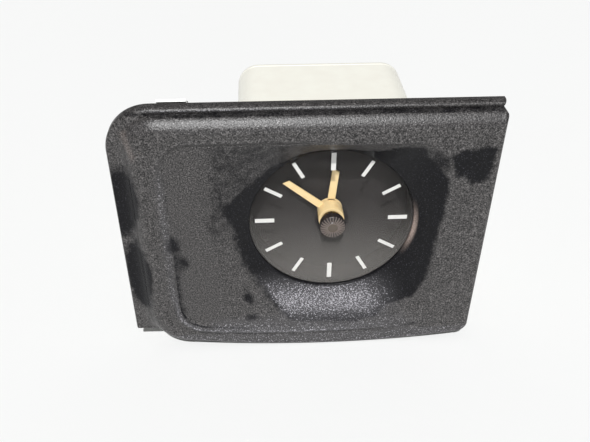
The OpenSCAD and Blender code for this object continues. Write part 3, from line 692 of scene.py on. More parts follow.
# How far the edges roll over, at the left and at the top: (way in, drop)
LEFT_ROLL = ((3.55, 0.04), (2.85, 0.17), (2.15, 0.4), (1.5, 0.72), (0.95, 1.1), (0.5, 1.5), (0.18, 1.86), (0.0, 2.15))
TOP_ROLL = ((0.875, 0.06), (0.75, 0.24), (0.612, 0.58), (0.45, 1.07), (0.3, 1.58), (0.175, 2.08), (0.075, 2.62),
            (0.0, 3.25))
# The pocket's step: way out, depth, depth where it has run out, way out and depth along the bottom
POCKET_STEP = (
    (-0.15, FLOOR, 0.08, -1.9, FLOOR - 0.03), (0.0, FLOOR - 0.07, 0.06, -1.2, FLOOR - 0.14),
    (0.16, FLOOR - 0.36, 0.05, -0.5, FLOOR - 0.38), (0.3, FLOOR - 0.66, 0.04, 0.05, FLOOR - 0.66),
    (0.5, FACE + 0.04, 0.03, 0.45, FACE + 0.05), (0.72, FACE, 0.02, 0.75, FACE),
    (0.95, FACE + 0.05, 0.02, 1.0, FACE + 0.07), (1.25, FACE + 0.15, 0.01, 1.3, FACE + 0.28),
    (1.7, FACE + 0.18, 0.0, 1.75, FACE + 0.4))
# The lip: way out at the top and left, depth at the top, left and elsewhere, share of the groove
LIP = ((0.0, 0.05, -3.5, -4.5, -4.2, 0), (0.0, 0.13, -3.1, -4.1, -3.2, 1), (0.06, 0.24, -2.8, -3.72, -2.9, 1),
       (0.36, 0.37, -2.9, -3.4, -2.6, 0), (0.44, 0.52, -3.0, -3.19, -2.3, 0), (0.55, 0.68, -2.93, -3.07, -1.9, 0),
       (0.78, 0.84, -2.5, -3.01, -1.4, 0), (0.94, 0.95, -1.9, -2.96, -0.9, 0), (1.0, 1.0, -1.2, -2.6, -0.5, 0),
       (1.0, 1.0, 0.0, 0.0, 0.0, 0))
# Places wiped clean: two outlines, and ovals by middle, half sizes and lean
WIPED_ROUND_DIAL = ((-31.5, 10.5), (-33.0, 8.4), (-32.6, 6.0), (-30.6, 2.5), (-29.0, -5.0), (-27.0, -14.0),
                    (-22.3, -22.5), (-17.6, -30.0), (-12.5, -35.0), (8.0, -36.4), (14.5, -34.5), (18.5, -30.5),
                    (26.4, -27.0), (29.6, -19.0), (30.5, -9.3), (31.3, 2.3), (31.7, 8.1), (32.2, 13.2),
                    (31.8, 18.4), (28.5, 22.0), (25.5, 25.5), (24.0, 28.6), (18.0, 28.4), (12.0, 26.4),
                    (-8.0, 25.6), (-19.0, 20.5), (-25.0, 15.0))
WIPED_RIGHT = ((30.9, 26.0), (34.7, 27.7), (39.0, 28.3), (43.9, 28.5), (43.4, 21.5), (43.0, 17.4), (38.2, 16.5),
               (36.0, 19.0), (33.2, 18.6), (32.4, 22.0))
WIPED_OVALS = ((-60.0, 11.0, 4.8, 12.0, 0.1), (-58.4, -15.5, 4.1, 13.5, 0.0), (-47.0, -3.2, 2.3, 3.2, -0.1),
               (-45.0, -8.6, 1.8, 3.4, -0.4), (-25.7, -26.4, 1.6, 2.2, -0.3), (-25.0, -33.2, 2.2, 1.1, 0.3))
RUBBED_RIDGE = ((-57.2, 33.0), (-56.6, 33.4), (-54.6, 27.4), (-55.2, 27.0))


def inside_by(points, x, z):
    """Distance in millimetres from a closed outline, positive inside it."""
    inside, nearest = False, 1e9
    for (ax, az), (bx, bz) in zip(points, points[1:] + points[:1]):
        if (az > z) != (bz > z) and x < (bx - ax) * (z - az) / (bz - az) + ax:
            inside = not inside
        dx, dz = bx - ax, bz - az
        s = max(0.0, min(1.0, ((x - ax) * dx + (z - az) * dz) / (dx * dx + dz * dz)))
        nearest = min(nearest, math.hypot(x - ax - s * dx, z - az - s * dz))
    return nearest if inside else -nearest


def wiped_and_shaded_amount(x, y, z, inside):
    """How clean the plastic is: 1 wiped bare, 0 under the full film; the darker bare plastic in the groove, at the foot
    of the pocket's step and below the bottom crest is painted shade.
    """
    on_lip, on_crest, on_back = z > 37.8 and y > -4.7, z > 38.6, y >= -0.2
    # Lip and groove: a thinner film, and the darker plastic in the groove is painted shade
    if on_lip:
        return 0.35 if on_crest else 0.6
    if on_back:
        return 0.4
    fading = 1.0 + 0.8 * smooth((-10.0 - x) / 10.0)
    best = max(inside_by(WIPED_ROUND_DIAL, x, z) / fading, inside_by(WIPED_RIGHT, x, z))
    for cx, cz, rx, rz, lean in WIPED_OVALS:
        dx, dz = x - cx - lean * (z - cz), z - cz
        best = max(best, (1.0 - math.hypot(dx / rx, dz / rz)) * min(rx, rz))
    # Painted shade: a dark line at the foot of the pocket's step at the lower left
    foot = bell(inside - 0.35, 0.5) * smooth((-20.0 - x) / 6.0) * smooth((5.0 - z) / 15.0)
    # Painted shade: a dark line below the bottom crest, where the surface faces down
    below = bell(inside + 1.8, 0.6) * smooth((-34.0 - z) / 3.0)
    smudge = bell(math.hypot(x - 28.5, z - 24.0), 5.0)
    hazy = smooth((z + 20.0) / 25.0) * smooth((x + 46.0) / 14.0) * smooth((30.4 - z) / 0.8) * smooth((-9.0 - x) / 6.0)
    return max(0.0, min(1.0, max(0.5 + best / 3.0, 0.75 * foot, 0.6 * below, 0.72 * smudge, 0.5 * hazy)))


def rubbed_and_highlight_amount(x, y, z):
    """How pale and brownish the plastic is made: rubbed wear on the ridge at the top left, and a painted highlight on
    the throat's edge at the right.
    """
    # Painted highlight on the throat's right edge
    rim = smooth((26.0 - math.hypot(x, z)) / 0.7) * smooth((0.1 - y) / 0.3)
    along = math.degrees(math.atan2(z, x))
    ridge = inside_by(RUBBED_RIDGE, x, z)
    return max(rim * smooth(1.0 - abs(along + 6.0) / 26.0), 0.16 * smooth(1.0 + ridge / 1.2))


def dust_and_glint_amount(x, y, z, upward, inside):
    """How much loose dust and painted light lie in the grain: a painted highlight on the upward shoulder, painted
    glints with some dust on the slope below the dial and its foot, a painted highlight on the pocket's ridge, painted
    glints along the lip's crest, and dust on the bottom border.
    """
    if y > -0.9:
        return 0.0
    # Painted highlight on the upward-facing shoulder
    shoulder = 0.15 * smooth((upward - 0.2) / 0.5) * smooth((-4.4 - y) / 0.6) * smooth((z - 28.0) / 6.0)
    crest = -37.3 - 1.4 * max(0.0, 1 - ((x + 8.0) / 36.0) ** 2)
    above = smooth((z - crest + 1.6) / 0.8)
    low = smooth((-30.0 - z) / 5.0)
    # Painted glints, with some dust, on the slope below the dial and at its foot
    slope = smooth((-16.0 - z) / 13.0) * smooth((25.0 - x) / 16.0) * (1 - 0.55 * low)
    slope *= smooth((x + 22.2 + 0.75 * (max(z, -31.0) + 23.7) + 4.0 * low) / (3.0 + 9.0 * low)) * above
    foot = 0.4 * smooth((-31.5 - z) / 4.0) * above * smooth((x + 42.0) / 8.0) * smooth((34.0 - x) / 16.0)
    border = 0.4 * smooth((crest - 1.2 - z) / 0.8) * smooth((-6.0 - y) / 0.5)
    corner = smooth((-20.0 - z) / 8.0)
    # Painted highlight along the ridge round the pocket
    ridge = (0.4 + 0.35 * corner) * bell(inside + 1.3 - 0.6 * corner, 1.3 - 0.7 * corner) * smooth((32.0 - z) / 16.0)
    ridge *= smooth((24.0 - x) / 20.0) * smooth((-6.0 - y) / 0.3)
    # Painted glints along the lip's crest
    glint = bell(z - 38.99, 0.12) * smooth((y + 3.3) / 0.2) * smooth((x + 54.0) / 6.0) * smooth((22.0 - x) / 30.0)
    return max(shoulder, 0.95 * slope, foot, border, ridge, glint)


class CLOCK_OT_fascia(bpy.types.Operator):
    """Moulded fascia: throat, sloping surround, pocket, border, shoulder, groove, lip and hollow back."""

    bl_idname = "clock.fascia"
    bl_label = "Fascia"

    def execute(self, context):
        sizes = context.scene.clock_sizes
        rings = self.surround() + self.pocket() + self.border(sizes.shoulder / MM, sizes.edge / MM)
        shape = Shape().loft(rings + self.lip(sizes.groove / MM) + self.back(), joined=True)
        self.add_bosses(shape)
        mesh = shape.mesh("fascia moulding")
        self.weather(mesh)
        piece = clock_piece("fascia_moulding", mesh, fascia_plastic(context.scene.clock_finishes), sharp=40.0)
        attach(piece, "housing")
        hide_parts("fascia")
        return {"FINISHED"}

    def surround(self):
        """Rings of the throat round the dial and the slope out to the pocket's floor."""
        rings = [level(ring_at(APERTURE + out), y) for out, y in (
            (0.0, 0.3), (0.0, -0.3), (0.0, -0.55), (0.06, -0.68), (0.2, MOUTH_DEPTH))]
        throat, ends = ring_at(APERTURE + 0.2), stepped(FLOOR, FACE + 0.42)
        for i in range(1, SLOPE_STEPS + 1):
            s = i / SLOPE_STEPS
            depth = min(1.0, s + 0.05 * math.sin(math.pi * s))
            rings.append(level(between(throat, SURROUND, s), [MOUTH_DEPTH + (y - MOUTH_DEPTH) * depth for y in ends]))
        return rings

    def pocket(self):
        """Rings of the pocket's floor, its step and the ridge round it."""
        rings = [level(between(SURROUND, POCKET_FOOT, s), stepped(FLOOR, FACE + plain))
                 for s, plain in ((0.18, 0.3), (0.35, 0.22), (0.55, 0.16), (0.72, 0.12))]
        return rings + [level(pocket_out(d, low), step_depths(y, ridge, FACE + plain))
                        for d, y, plain, low, ridge in POCKET_STEP]

    def border(self, shoulder, edge):
        """Rings of the border round the pocket and of the edges that roll over."""
        inner, rim = pocket_out(1.7, 1.75), panel_in(4.2, edge, shoulder, edge)
        rings = []
        for s in (0.12, 0.25, 0.38, 0.5, 0.62, 0.75, 0.88, 1.0):
            depths = step_depths(FACE + 0.18 * max(0.0, 1 - 2.2 * s), FACE + 0.4 * (1 - s), FACE)
            rings.append(level(between(inner, rim, s), depths))
        for i, ((left_in, left_drop), (top_in, top_drop)) in enumerate(zip(LEFT_ROLL, TOP_ROLL), 1):
            a = math.radians(90 * i / len(TOP_ROLL))
            inset, drop = edge * (1 - math.sin(a)), 1 - math.cos(a)
            rings.append(level(panel_in(left_in, inset, shoulder * top_in, inset), [
                FACE + t * top_drop + l * left_drop + (b + r) * edge * drop for t, l, b, r in SHARES]))
        return rings

    def lip(self, groove):
        """Rings of the groove and the lip at the top and left, and of the plain wall elsewhere."""
        wall, tip = panel_in(0.0, 0.0, 0.0, 0.0), self.lip_outline()
        rings = []
        for out_top, out_left, y_top, y_left, y_plain, sunk in LIP:
            ring = []
            for (side, k), (px, pz), (qx, qz), (t, _, _, _) in zip(COLUMNS, wall, tip, SHARES):
                if side in (TOP, ROUND_TL, LEFT) or (side == ROUND_BL and k < LIP_END):
                    out = out_left + (out_top - out_left) * t
                    ring.append((px + (qx - px) * out, y_left + (y_top - y_left) * t,
                                 pz + (qz - pz) * out - sunk * groove * t))
                else:
                    ring.append((px, y_plain, pz))
            rings.append(ring)
        return rings

    def lip_outline(self):
        """The lip's outer edge for each column; it ends flat at the bottom left."""
        left, top, right = FASCIA_LOW[0], FASCIA_HIGH[2], FASCIA_HIGH[0]
        bottom, bend, radius, turn = -39.2, -34.0, 12.5, 0.4
        arc_x, arc_z = -45.0, -29.9
        end = arc_x + 12 * math.cos(math.radians(231.0))
        points = []
        for side, k in COLUMNS:
            s = k / LIP_END
            if side == TOP:
                points.append((right + (left + radius - right) * k, top))
            elif side == ROUND_TL:
                a = math.radians(90 + 90 * k)
                points.append((left + radius + radius * math.cos(a), top - radius + radius * math.sin(a)))
            elif side == LEFT:
                points.append((left, top - radius + (bend - top + radius) * k))
            elif side == ROUND_BL and s < turn:
                points.append((left, bend + (bottom - bend) * s / turn))
            elif side == ROUND_BL and k < LIP_END:
                points.append((left + (end - left) * (s - turn) / (1 - turn), bottom))
            else:
                points.append((arc_x, arc_z))
        return points

    def back(self):
        """Rings of the hollow back and of the collar round the throat."""
        inner = panel_in(WALL, WALL, WALL, WALL)
        return [level(inner, 0.0), level(inner, FLOOR + WALL), level(between(BACK_SKIN, inner, 0.02), FLOOR + WALL),
                level(between(ring_at(COLLAR), BACK_SKIN, 0.45), -2.0), level(ring_at(COLLAR), 0.3)]

    def add_bosses(self, shape):
        """The four fixing bosses, the four bosses of the module and the two clip tongues, behind the panel."""
        root = FLOOR + 1.6
        for x, z, end, hole in ((38.8, 31.0, 0.0, 1.5), (33.5, 16.0, 0.98, 1.1)):
            for sx, sz in corners():
                shape.turn([(3.4, root), (3.4, end - 0.2), (3.2, end), (hole, end), (hole, root + 1.0), (0, root + 1.0),
                            (0, root)], 32, sx * x, sz * z)
        shape.box((-49.0, root, 33.2), (-40.0, 9.0, 35.2), 0.2)
        shape.box((39.4, root, 4.0), (41.4, 9.0, 13.0), 0.2)

    def weather(self, mesh):
        """Keeps on the mesh how wiped, rubbed and dusty the plastic is at each point, and where shade, highlights and
        glints are painted.
        """
        amounts = {"wiped": [], "rubbed": [], "settled": []}
        for vertex in mesh.vertices:
            x, y, z = (v / MM for v in vertex.co)
            inside = inside_by(POCKET_EDGE, x, z)
            amounts["wiped"].append(wiped_and_shaded_amount(x, y, z, inside))
            amounts["rubbed"].append(rubbed_and_highlight_amount(x, y, z))
            amounts["settled"].append(dust_and_glint_amount(x, y, z, vertex.normal.z, inside))
        for name, values in amounts.items():
            mesh.attributes.new(name, "FLOAT", "POINT").data.foreach_set("value", values)


# Lens, marks, hands and knob


class CLOCK_OT_lens(bpy.types.Operator):
    """Clear lens with a softened front edge, a seating flange and a rimmed hole for the knob."""

    bl_idname = "clock.lens"
    bl_label = "Lens"

    def execute(self, context):
        front, back = LENS_LOW[1], LENS_HIGH[1]
        flange, radius, hole = LENS_HIGH[0], 24.45, 5.15
        seat = back - 0.68
        mesh = Shape().turn([
            (hole, back), (hole, front + 0.18), (hole + 0.06, front + 0.06), (hole + 0.2, front), (radius - 0.5, front),
            (radius - 0.2, front + 0.05), (radius - 0.04, front + 0.2), (radius, front + 0.4), (radius, seat),
            (flange - 0.1, seat), (flange, back - 0.58), (flange, back)], 180).mesh("lens moulding")
        piece = clock_piece("lens_moulding", mesh, lens_plastic("clear lens plastic", 1.03),
                            lens_plastic("clear lens hole", 1.0), sharp=50.0)
        for face in mesh.polygons:
            if math.hypot(face.center.x, face.center.z) < (hole + 0.05) * MM and face.center.y < (back - 0.05) * MM:
                face.material_index = 1
        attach(piece, "housing")
        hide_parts("lens")
        return {"FINISHED"}


class CLOCK_OT_hour_marks(bpy.types.Operator):
    """Twelve printed hour marks, the quarters wider, set round the dial by Geometry Nodes."""

    bl_idname = "clock.hour_marks"
    bl_label = "Hour marks"

    def execute(self, context):
        sizes, white = context.scene.clock_sizes, context.scene.clock_finishes.mark
        print_white = paint("hour mark print", white, shade(white, 0.9), 0.5)
        inner, outer = 17.2, MARK_HIGH[2]
        values = {"Count": 4, "Start": 0.0, "Width": sizes.mark_wide, "Length": (outer - inner) * MM,
                  "Reach": (inner + outer) / 2 * MM, "Depth": (MARK_LOW[1] + MARK_HIGH[1]) / 2 * MM,
                  "Thickness": (MARK_HIGH[1] - MARK_LOW[1]) * MM}
        tree, entry, leave = repeat_tree("hour marks", values)
        bar = tree.bar((entry["Width"], entry["Thickness"], entry["Length"]), (0.0, entry["Depth"], entry["Reach"]))
        tree.fill(leave, Geometry=tree.round_copies(bar, entry["Count"], entry["Start"], print_white))
        joined = bmesh.new()
        for hour, width in ((0, sizes.mark_wide), (1, sizes.mark_width), (2, sizes.mark_width)):
            part = tree.bake("hour marks", {**values, "Start": math.radians(30 * hour), "Width": width})
            joined.from_mesh(part)
            bpy.data.meshes.remove(part)
        if not joined.verts:
            raise RuntimeError("the hour marks came out empty")
        piece = clock_piece("hour_mark_print", mesh_from(joined, "hour marks"), print_white)
        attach(piece, "housing")
        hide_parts("hour_marks")
        return {"FINISHED"}


class CLOCK_OT_hands(bpy.types.Operator):
    """Minute and hour hands, cream, with the minute hand's hub cup round the knob's nose."""

    bl_idname = "clock.hands"
    bl_label = "Hands"

    def execute(self, context):
        width = context.scene.clock_sizes.hand_width / MM
        cream = paint("cream hand paint", context.scene.clock_finishes.hand, (0.78, 0.5, 0.2), 0.45)
        minute_hub = [(3.0, 0.7), (3.7, 0.7), (3.84, 0.78), (3.9, 0.95), (3.9, 5.48), (3.78, 5.6), (1.52, 5.6),
                      (1.52, 4.4), (3.0, 4.4)]
        hour_hub = [(1.97, 6.1), (3.78, 6.1), (3.9, 6.22), (3.9, 6.7), (3.78, 6.8), (1.97, 6.8)]
        shape = Shape().turn(minute_hub, 72).loft(self.blade(-51, 17.3, width, width - 0.5, 4.8, 5.3))
        piece = clock_piece("minute_hand_stamping", shape.mesh("minute hand"), cream)
        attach(piece, "minute_group")
        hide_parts("minute_hand")
        shape = Shape().turn(hour_hub, 72).loft(self.blade(6, 14.0, width, width - 0.2, 6.1, 6.6))
        piece = clock_piece("hour_hand_stamping", shape.mesh("hour hand"), cream)
        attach(piece, "hour_group")
        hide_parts("hour_hand")
        return {"FINISHED"}

    def blade(self, degrees, reach, width, tip_width, y0, y1):
        """Rings of a stamped hand with softened edges and a slanted tip, turned clockwise by the degrees."""
        half, tip, root, slant, soft = width / 2, tip_width / 2, 1.0, 0.5, 0.12
        flat = [(-half, root), (half, root), (tip, reach - slant), (-tip, reach + slant)]
        inset = [(-half + soft, root + soft), (half - soft, root + soft), (tip - soft, reach - slant - soft),
                 (-tip + soft, reach + slant - soft)]
        a = math.radians(degrees)
        return [[(x * math.cos(a) + z * math.sin(a), y, z * math.cos(a) - x * math.sin(a)) for x, z in ring]
                for ring, y in ((inset, y0), (flat, y0 + soft), (flat, y1 - 0.03), (inset, y1))]


class CLOCK_OT_knob(bpy.types.Operator):
    """Black setting knob: a turned body with a raised centre and radial ribs set by Geometry Nodes."""

    bl_idname = "clock.knob"
    bl_label = "Setting knob"

    def execute(self, context):
        y0, y1 = KNOB_LOW[1], KNOB_HIGH[1]
        rear, seat = y0 + 3.0, y0 + 1.4
        black = plain_plastic("knob plastic", (0.022, 0.018, 0.019), 0.34, 0.55, 0.0003, 0.2)
        worn = plain_plastic("knob rib plastic", (0.2, 0.165, 0.147), 0.45, 0.6, 0.0003, 0.2)
        centre = plain_plastic("knob centre plastic", (0.092, 0.072, 0.056), 0.5, 0.6, 0.0003, 0.2)
        front = [(r, y0 + y) for r, y in ((0, 0.1), (1.2, 0.1), (1.6, 0.16), (1.9, 0.5), (3.0, 0.5), (3.35, 0.56),
                                          (3.6, 0.74), (3.68, 0.95))]
        body = Shape().turn(front + [(3.68, rear - 0.12), (3.5, rear), (2.8, rear), (2.8, y1 - 0.2), (2.6, y1),
                                     (0.82, y1), (0.82, seat), (0, seat)], 88).mesh("knob body")
        values = {"Count": context.scene.clock_sizes.knob_ribs, "Start": 0.0, "Width": 0.00025}
        tree, entry, leave = repeat_tree("knob ribs", values)
        join = tree.add("GeometryNodeJoinGeometry")
        for low_z, high_z, low_y, high_y in ((1.5, 3.3, y0, y0 + 0.7), (3.2, 3.55, y0 + 0.2, y0 + 0.8),
                                             (3.4, 3.7, y0 + 0.5, y0 + 0.85)):
            tree.fill(join.inputs, Geometry=tree.bar(
                (entry["Width"], (high_y - low_y) * MM, (high_z - low_z) * MM),
                (0.0, (low_y + high_y) / 2 * MM, (low_z + high_z) / 2 * MM)))
        tree.fill(leave, Geometry=tree.round_copies(join.outputs[0], entry["Count"], entry["Start"], worn))
        joined = bmesh.new()
        joined.from_mesh(body)
        body_faces = len(joined.faces)
        joined.from_mesh(tree.bake("knob ribs", values))
        if len(joined.faces) == body_faces:
            raise RuntimeError("the knob's ribs came out empty")
        for i, face in enumerate(joined.faces):
            middle = face.calc_center_median()
            raised = math.hypot(middle.x, middle.z) < 1.65 * MM and middle.y < (y0 + 0.2) * MM
            face.material_index = 1 if i >= body_faces else 2 if raised else 0
        piece = clock_piece("setting_knob_moulding", mesh_from(joined, "setting knob"), black, worn, centre)
        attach(piece, "knob_group")
        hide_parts("set_knob")
        return {"FINISHED"}


# Case, screws and rear fittings


CASE_HALF, CASE_CORNER, CASE_INNER = COVER_HIGH[0], 7.0, 25.6
MODULE_X, MODULE_Z = 33.5, 16.0
COVER_SCREW = 22.3
LAMP_X, LAMP_Z = 12.0, 14.0


def rounded_square(half, radius, y):
    """A ring of a square with round corners, its straight sides divided too."""
    ring, steps, along = [], 10, 16
    run = 2 * (half - radius)
    for cx, cz, start in ((1, 1, 0), (-1, 1, 90), (-1, -1, 180), (1, -1, 270)):
        for k in range(steps + 1):
            a = math.radians(start + 90 * k / steps)
            ring.append((cx * (half - radius) + radius * math.cos(a), y, cz * (half - radius) + radius * math.sin(a)))
        x, _, z = ring[-1]
        a = math.radians(start + 180)
        for k in range(1, along):
            ring.append((x + run * k / along * math.cos(a), y, z + run * k / along * math.sin(a)))
    return ring


def square_loop(inset, y):
    """A ring of the case's outside, moved in."""
    return rounded_square(CASE_HALF - inset, CASE_CORNER - inset, y)


class CLOCK_OT_case(bpy.types.Operator):
    """Ivory case with its ears, and a rear cover with a softened edge and cut openings."""

    bl_idname = "clock.case"
    bl_label = "Case and rear cover"

    def execute(self, context):
        ivory = plain_plastic("ivory case plastic", context.scene.clock_finishes.ivory, 0.38, 0.55, 0.0012, 0.08)
        front, seam, floor, seat = CASE_LOW[1], CASE_HIGH[1], 13.2, 9.02
        rings = [square_loop(0.3, front), square_loop(0.0, front + 0.3), square_loop(0.0, seam - 0.2),
                 square_loop(0.2, seam), rounded_square(CASE_INNER, CASE_CORNER - 1.9, seam),
                 rounded_square(CASE_INNER, CASE_CORNER - 1.9, floor)]
        mouth = [(x / math.hypot(x, z), z / math.hypot(x, z)) for x, _, z in square_loop(0.0, floor)]
        for radius, y in ((23.6, floor), (23.6, seat), (25.6, seat), (25.6, front)):
            rings.append([(x * radius, y, z * radius) for x, z in mouth])
        shape = Shape().loft(rings, joined=True)
        for sx, sz in corners():
            shape.loft(self.ear(sx, sz, front), joined=True)
        piece = clock_piece("case_moulding", shape.mesh("case"), ivory)
        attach(piece, "housing")
        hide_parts("case_shell")
        self.cover(context.scene.clock_sizes.case_edge / MM, ivory)
        return {"FINISHED"}

    def ear(self, sx, sz, front):
        """Rings of one ear with its screw hole, which runs into the case wall."""
        x, z, back, count, radius = MODULE_X * sx, MODULE_Z * sz, front + 3.0, 48, 4.0
        outer = []
        for a in angles(count):
            px, pz = math.cos(a) * radius, math.sin(a) * radius
            if px * sx < 0:
                px, pz = -sx * 6.2, radius * max(-1.0, min(1.0, pz / 3.4))
            outer.append((px, pz))
        hole = [(1.6 * math.cos(a), 1.6 * math.sin(a)) for a in angles(count)]
        return [[(x + px * grow, y, z + pz * grow) for px, pz in ring] for ring, y, grow in (
            (outer, front, 0.96), (outer, front + 0.2, 1.0), (outer, back - 0.3, 1.0), (outer, back, 0.95),
            (hole, back, 1.0), (hole, front, 1.0))]

    def cover(self, soft, ivory):
        """The rear cover, its openings cut out."""
        y0, y1 = COVER_LOW[1], COVER_HIGH[1]
        below, above = y0 - 1, y1 + 1
        rings = [square_loop(0.15, y0), square_loop(0.0, y0 + 0.15)]
        for i in range(5):
            a = math.radians(90 * i / 4)
            rings.append(square_loop(soft * (1 - math.cos(a)), y1 - soft + soft * math.sin(a)))
        piece = clock_piece("rear_cover_moulding", Shape().loft(rings).mesh("rear cover"), ivory)

        def rod(shape, radius, count, x, z):
            return shape.turn([(0, below), (radius, below), (radius, above), (0, above)], count, x, z)

        cuts = Shape()
        for sx, sz in corners():
            rod(cuts, 1.2, 32, COVER_SCREW * sx, COVER_SCREW * sz)
        for z in (6.0, -4.0, -14.0):
            cuts.box((-16.45, below, z - 0.7), (-9.55, above, z + 0.7), 0.1)
        cut_out(piece, cuts.mesh("cover cuts"))
        cut_out(piece, rod(Shape(), 5.65, 64, LAMP_X, LAMP_Z).mesh("lamp opening"))
        notch = Shape().box((-7.1, below, -1.5), (7.1, above, 1.5), 0.1).mesh("lamp notch")
        turned = Matrix.Rotation(math.radians(60), 4, "Y")
        notch.transform(Matrix.Translation((LAMP_X * MM, 0.0, LAMP_Z * MM)) @ turned)
        cut_out(piece, notch)
        soften(piece.data)
        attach(piece, "housing")
        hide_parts("rear_cover")


class CLOCK_OT_screws(bpy.types.Operator):
    """Slotted screws of the module and of the rear cover, set by Geometry Nodes from one turned shape."""

    bl_idname = "clock.screws"
    bl_label = "Screws"

    def execute(self, context):
        steel = bare_metal("screw steel", (0.52, 0.51, 0.49), 0.38)
        self.set_screws("module_screws", "module screws", MODULE_X, MODULE_Z, 1.08, 2.8, 1.6, 7.0, steel)
        self.set_screws("cover_screws", "cover screws", COVER_SCREW, COVER_SCREW, 0.88, 1.9, 1.0, 6.0, steel)
        return {"FINISHED"}

    def template(self, name, radius, head_r, head_h, shank):
        """One screw with a domed, slotted head at the origin, its shank towards -Y."""
        shape = Shape().turn([
            (0, -shank), (radius * 0.6, -shank), (radius, -shank + 0.5), (radius, 0.0), (head_r - 0.08, 0.0),
            (head_r, 0.1), (head_r, head_h * 0.5), (head_r * 0.86, head_h * 0.85), (head_r * 0.6, head_h),
            (0, head_h)], 40)
        screw = placed(name, shape.mesh(name))
        slot_x, slot_z = head_r * 0.65, head_r * 0.125
        slot = Shape().box((-slot_x, head_h * 0.5, -slot_z), (slot_x, head_h + 1.0, slot_z), 0.02)
        cut_out(screw, slot.mesh("slot cutter"))
        return screw

    def set_screws(self, node, name, x, z, radius, head_r, head_h, shank, steel):
        """Sets one screw at each corner of a rectangle by Geometry Nodes."""
        low, high = box_mm(node)
        seat = high[1] - head_h
        screw = self.template(name + " shape", radius, head_r, head_h, min(shank, seat - low[1]))
        values = {"Screw": screw, "Width": 2 * x * MM, "Height": 2 * z * MM, "Seat": seat * MM}
        tree, entry, leave = repeat_tree(name, values)
        grid = tree.add("GeometryNodeMeshGrid", Vertices_X=2, Vertices_Y=2, Size_X=entry["Width"],
                        Size_Y=entry["Height"])
        depth = tree.add("ShaderNodeCombineXYZ", Y=entry["Seat"])
        upright = tree.add("GeometryNodeTransform", Geometry=grid.outputs["Mesh"], Translation=depth.outputs[0],
                           Rotation=(math.radians(90), 0.0, 0.0))
        info = tree.add("GeometryNodeObjectInfo", Object=entry["Screw"])
        tree.fill(leave, Geometry=tree.copies(info.outputs["Geometry"], upright.outputs[0], steel))
        mesh = tree.bake(name, values)
        bpy.data.objects.remove(screw)
        if len(mesh.polygons) < 40:
            raise RuntimeError(name + " came out empty")
        mesh.materials.clear()
        piece = clock_piece(node + "_set", mesh, steel)
        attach(piece, "housing")
        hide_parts(node)


class CLOCK_OT_set_spring(bpy.types.Operator):
    """Leaf spring behind the setting stem, cut into short lengths."""

    bl_idname = "clock.set_spring"
    bl_label = "Set spring"

    def execute(self, context):
        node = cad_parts["set_spring"]
        low, high = box_mm("set_spring")
        shape = bmesh.new()
        shape.from_mesh(node.data)
        shape.transform(node.matrix_world)
        lengths = 24
        for i in range(1, lengths):
            x = low[0] + (high[0] - low[0]) * i / lengths
            bmesh.ops.bisect_plane(shape, geom=shape.verts[:] + shape.edges[:] + shape.faces[:],
                                   plane_co=(x * MM, 0, 0), plane_no=(1, 0, 0))
        mesh = mesh_from(shape, "leaf spring")
        mesh.materials.clear()
        piece = clock_piece("set_spring_leaf", mesh, bare_metal("leaf spring steel", (0.6, 0.61, 0.61), 0.3))
        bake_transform(piece)
        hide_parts("set_spring")
        return {"FINISHED"}


class CLOCK_OT_frame_finishes(bpy.types.Operator):
    """Finishes of the pieces shown as the frame has them: dial, clips, movement, board, blades and lamp."""

    bl_idname = "clock.frame_finishes"
    bl_label = "Dial, clips, movement and lamp"

    def execute(self, context):
        worn_by = {
            plain_plastic("dial ground", context.scene.clock_finishes.dial, 0.8, 0.9, 0.0008, 0.02): ("dial_cup",),
            bare_metal("wheel brass", (0.62, 0.46, 0.19), 0.33): (
                "front_plate", "rear_plate", "plate_pillars", "centre_wheel", "minute_wheel", "hour_wheel",
                "third_wheel", "board_spacers", "stem_collar"),
            bare_metal("spring steel", (0.62, 0.63, 0.62), 0.32): (
                "retaining_clips", "setting_stem", "spring_screw", "pillar_screws", "movement_screws",
                "minute_wheel_post", "stator_posts", "stator_screws", "board_screws", "quartz_can"),
            bare_metal("soft iron", (0.33, 0.33, 0.34), 0.5): ("stator", "coil_core"),
            bare_metal("winding copper", (0.6, 0.27, 0.13), 0.42): ("coil_winding",),
            bare_metal("blade brass", (0.66, 0.55, 0.3), 0.36): ("terminal_blades",),
            plain_plastic("ferrite", (0.05, 0.05, 0.055), 0.55, 0.7, 0.0003, 0.2): ("rotor",),
            plain_plastic("bobbin plastic", (0.62, 0.6, 0.5), 0.45, 0.6): ("coil_bobbin",),
            plain_plastic("board laminate", (0.035, 0.11, 0.05), 0.4, 0.55, 0.0005, 0.08): ("circuit_board",),
            plain_plastic("component black", (0.02, 0.02, 0.022), 0.42, 0.6): ("board_parts",),
            plain_plastic("lamp holder plastic", (0.024, 0.024, 0.026), 0.45, 0.62): ("lamp_holder",),
            bulb_glass(): ("lamp_bulb",)}
        for material, names in worn_by.items():
            for name in names:
                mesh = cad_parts[name].data
                mesh.materials.clear()
                mesh.materials.append(material)
        return {"FINISHED"}


# Stage


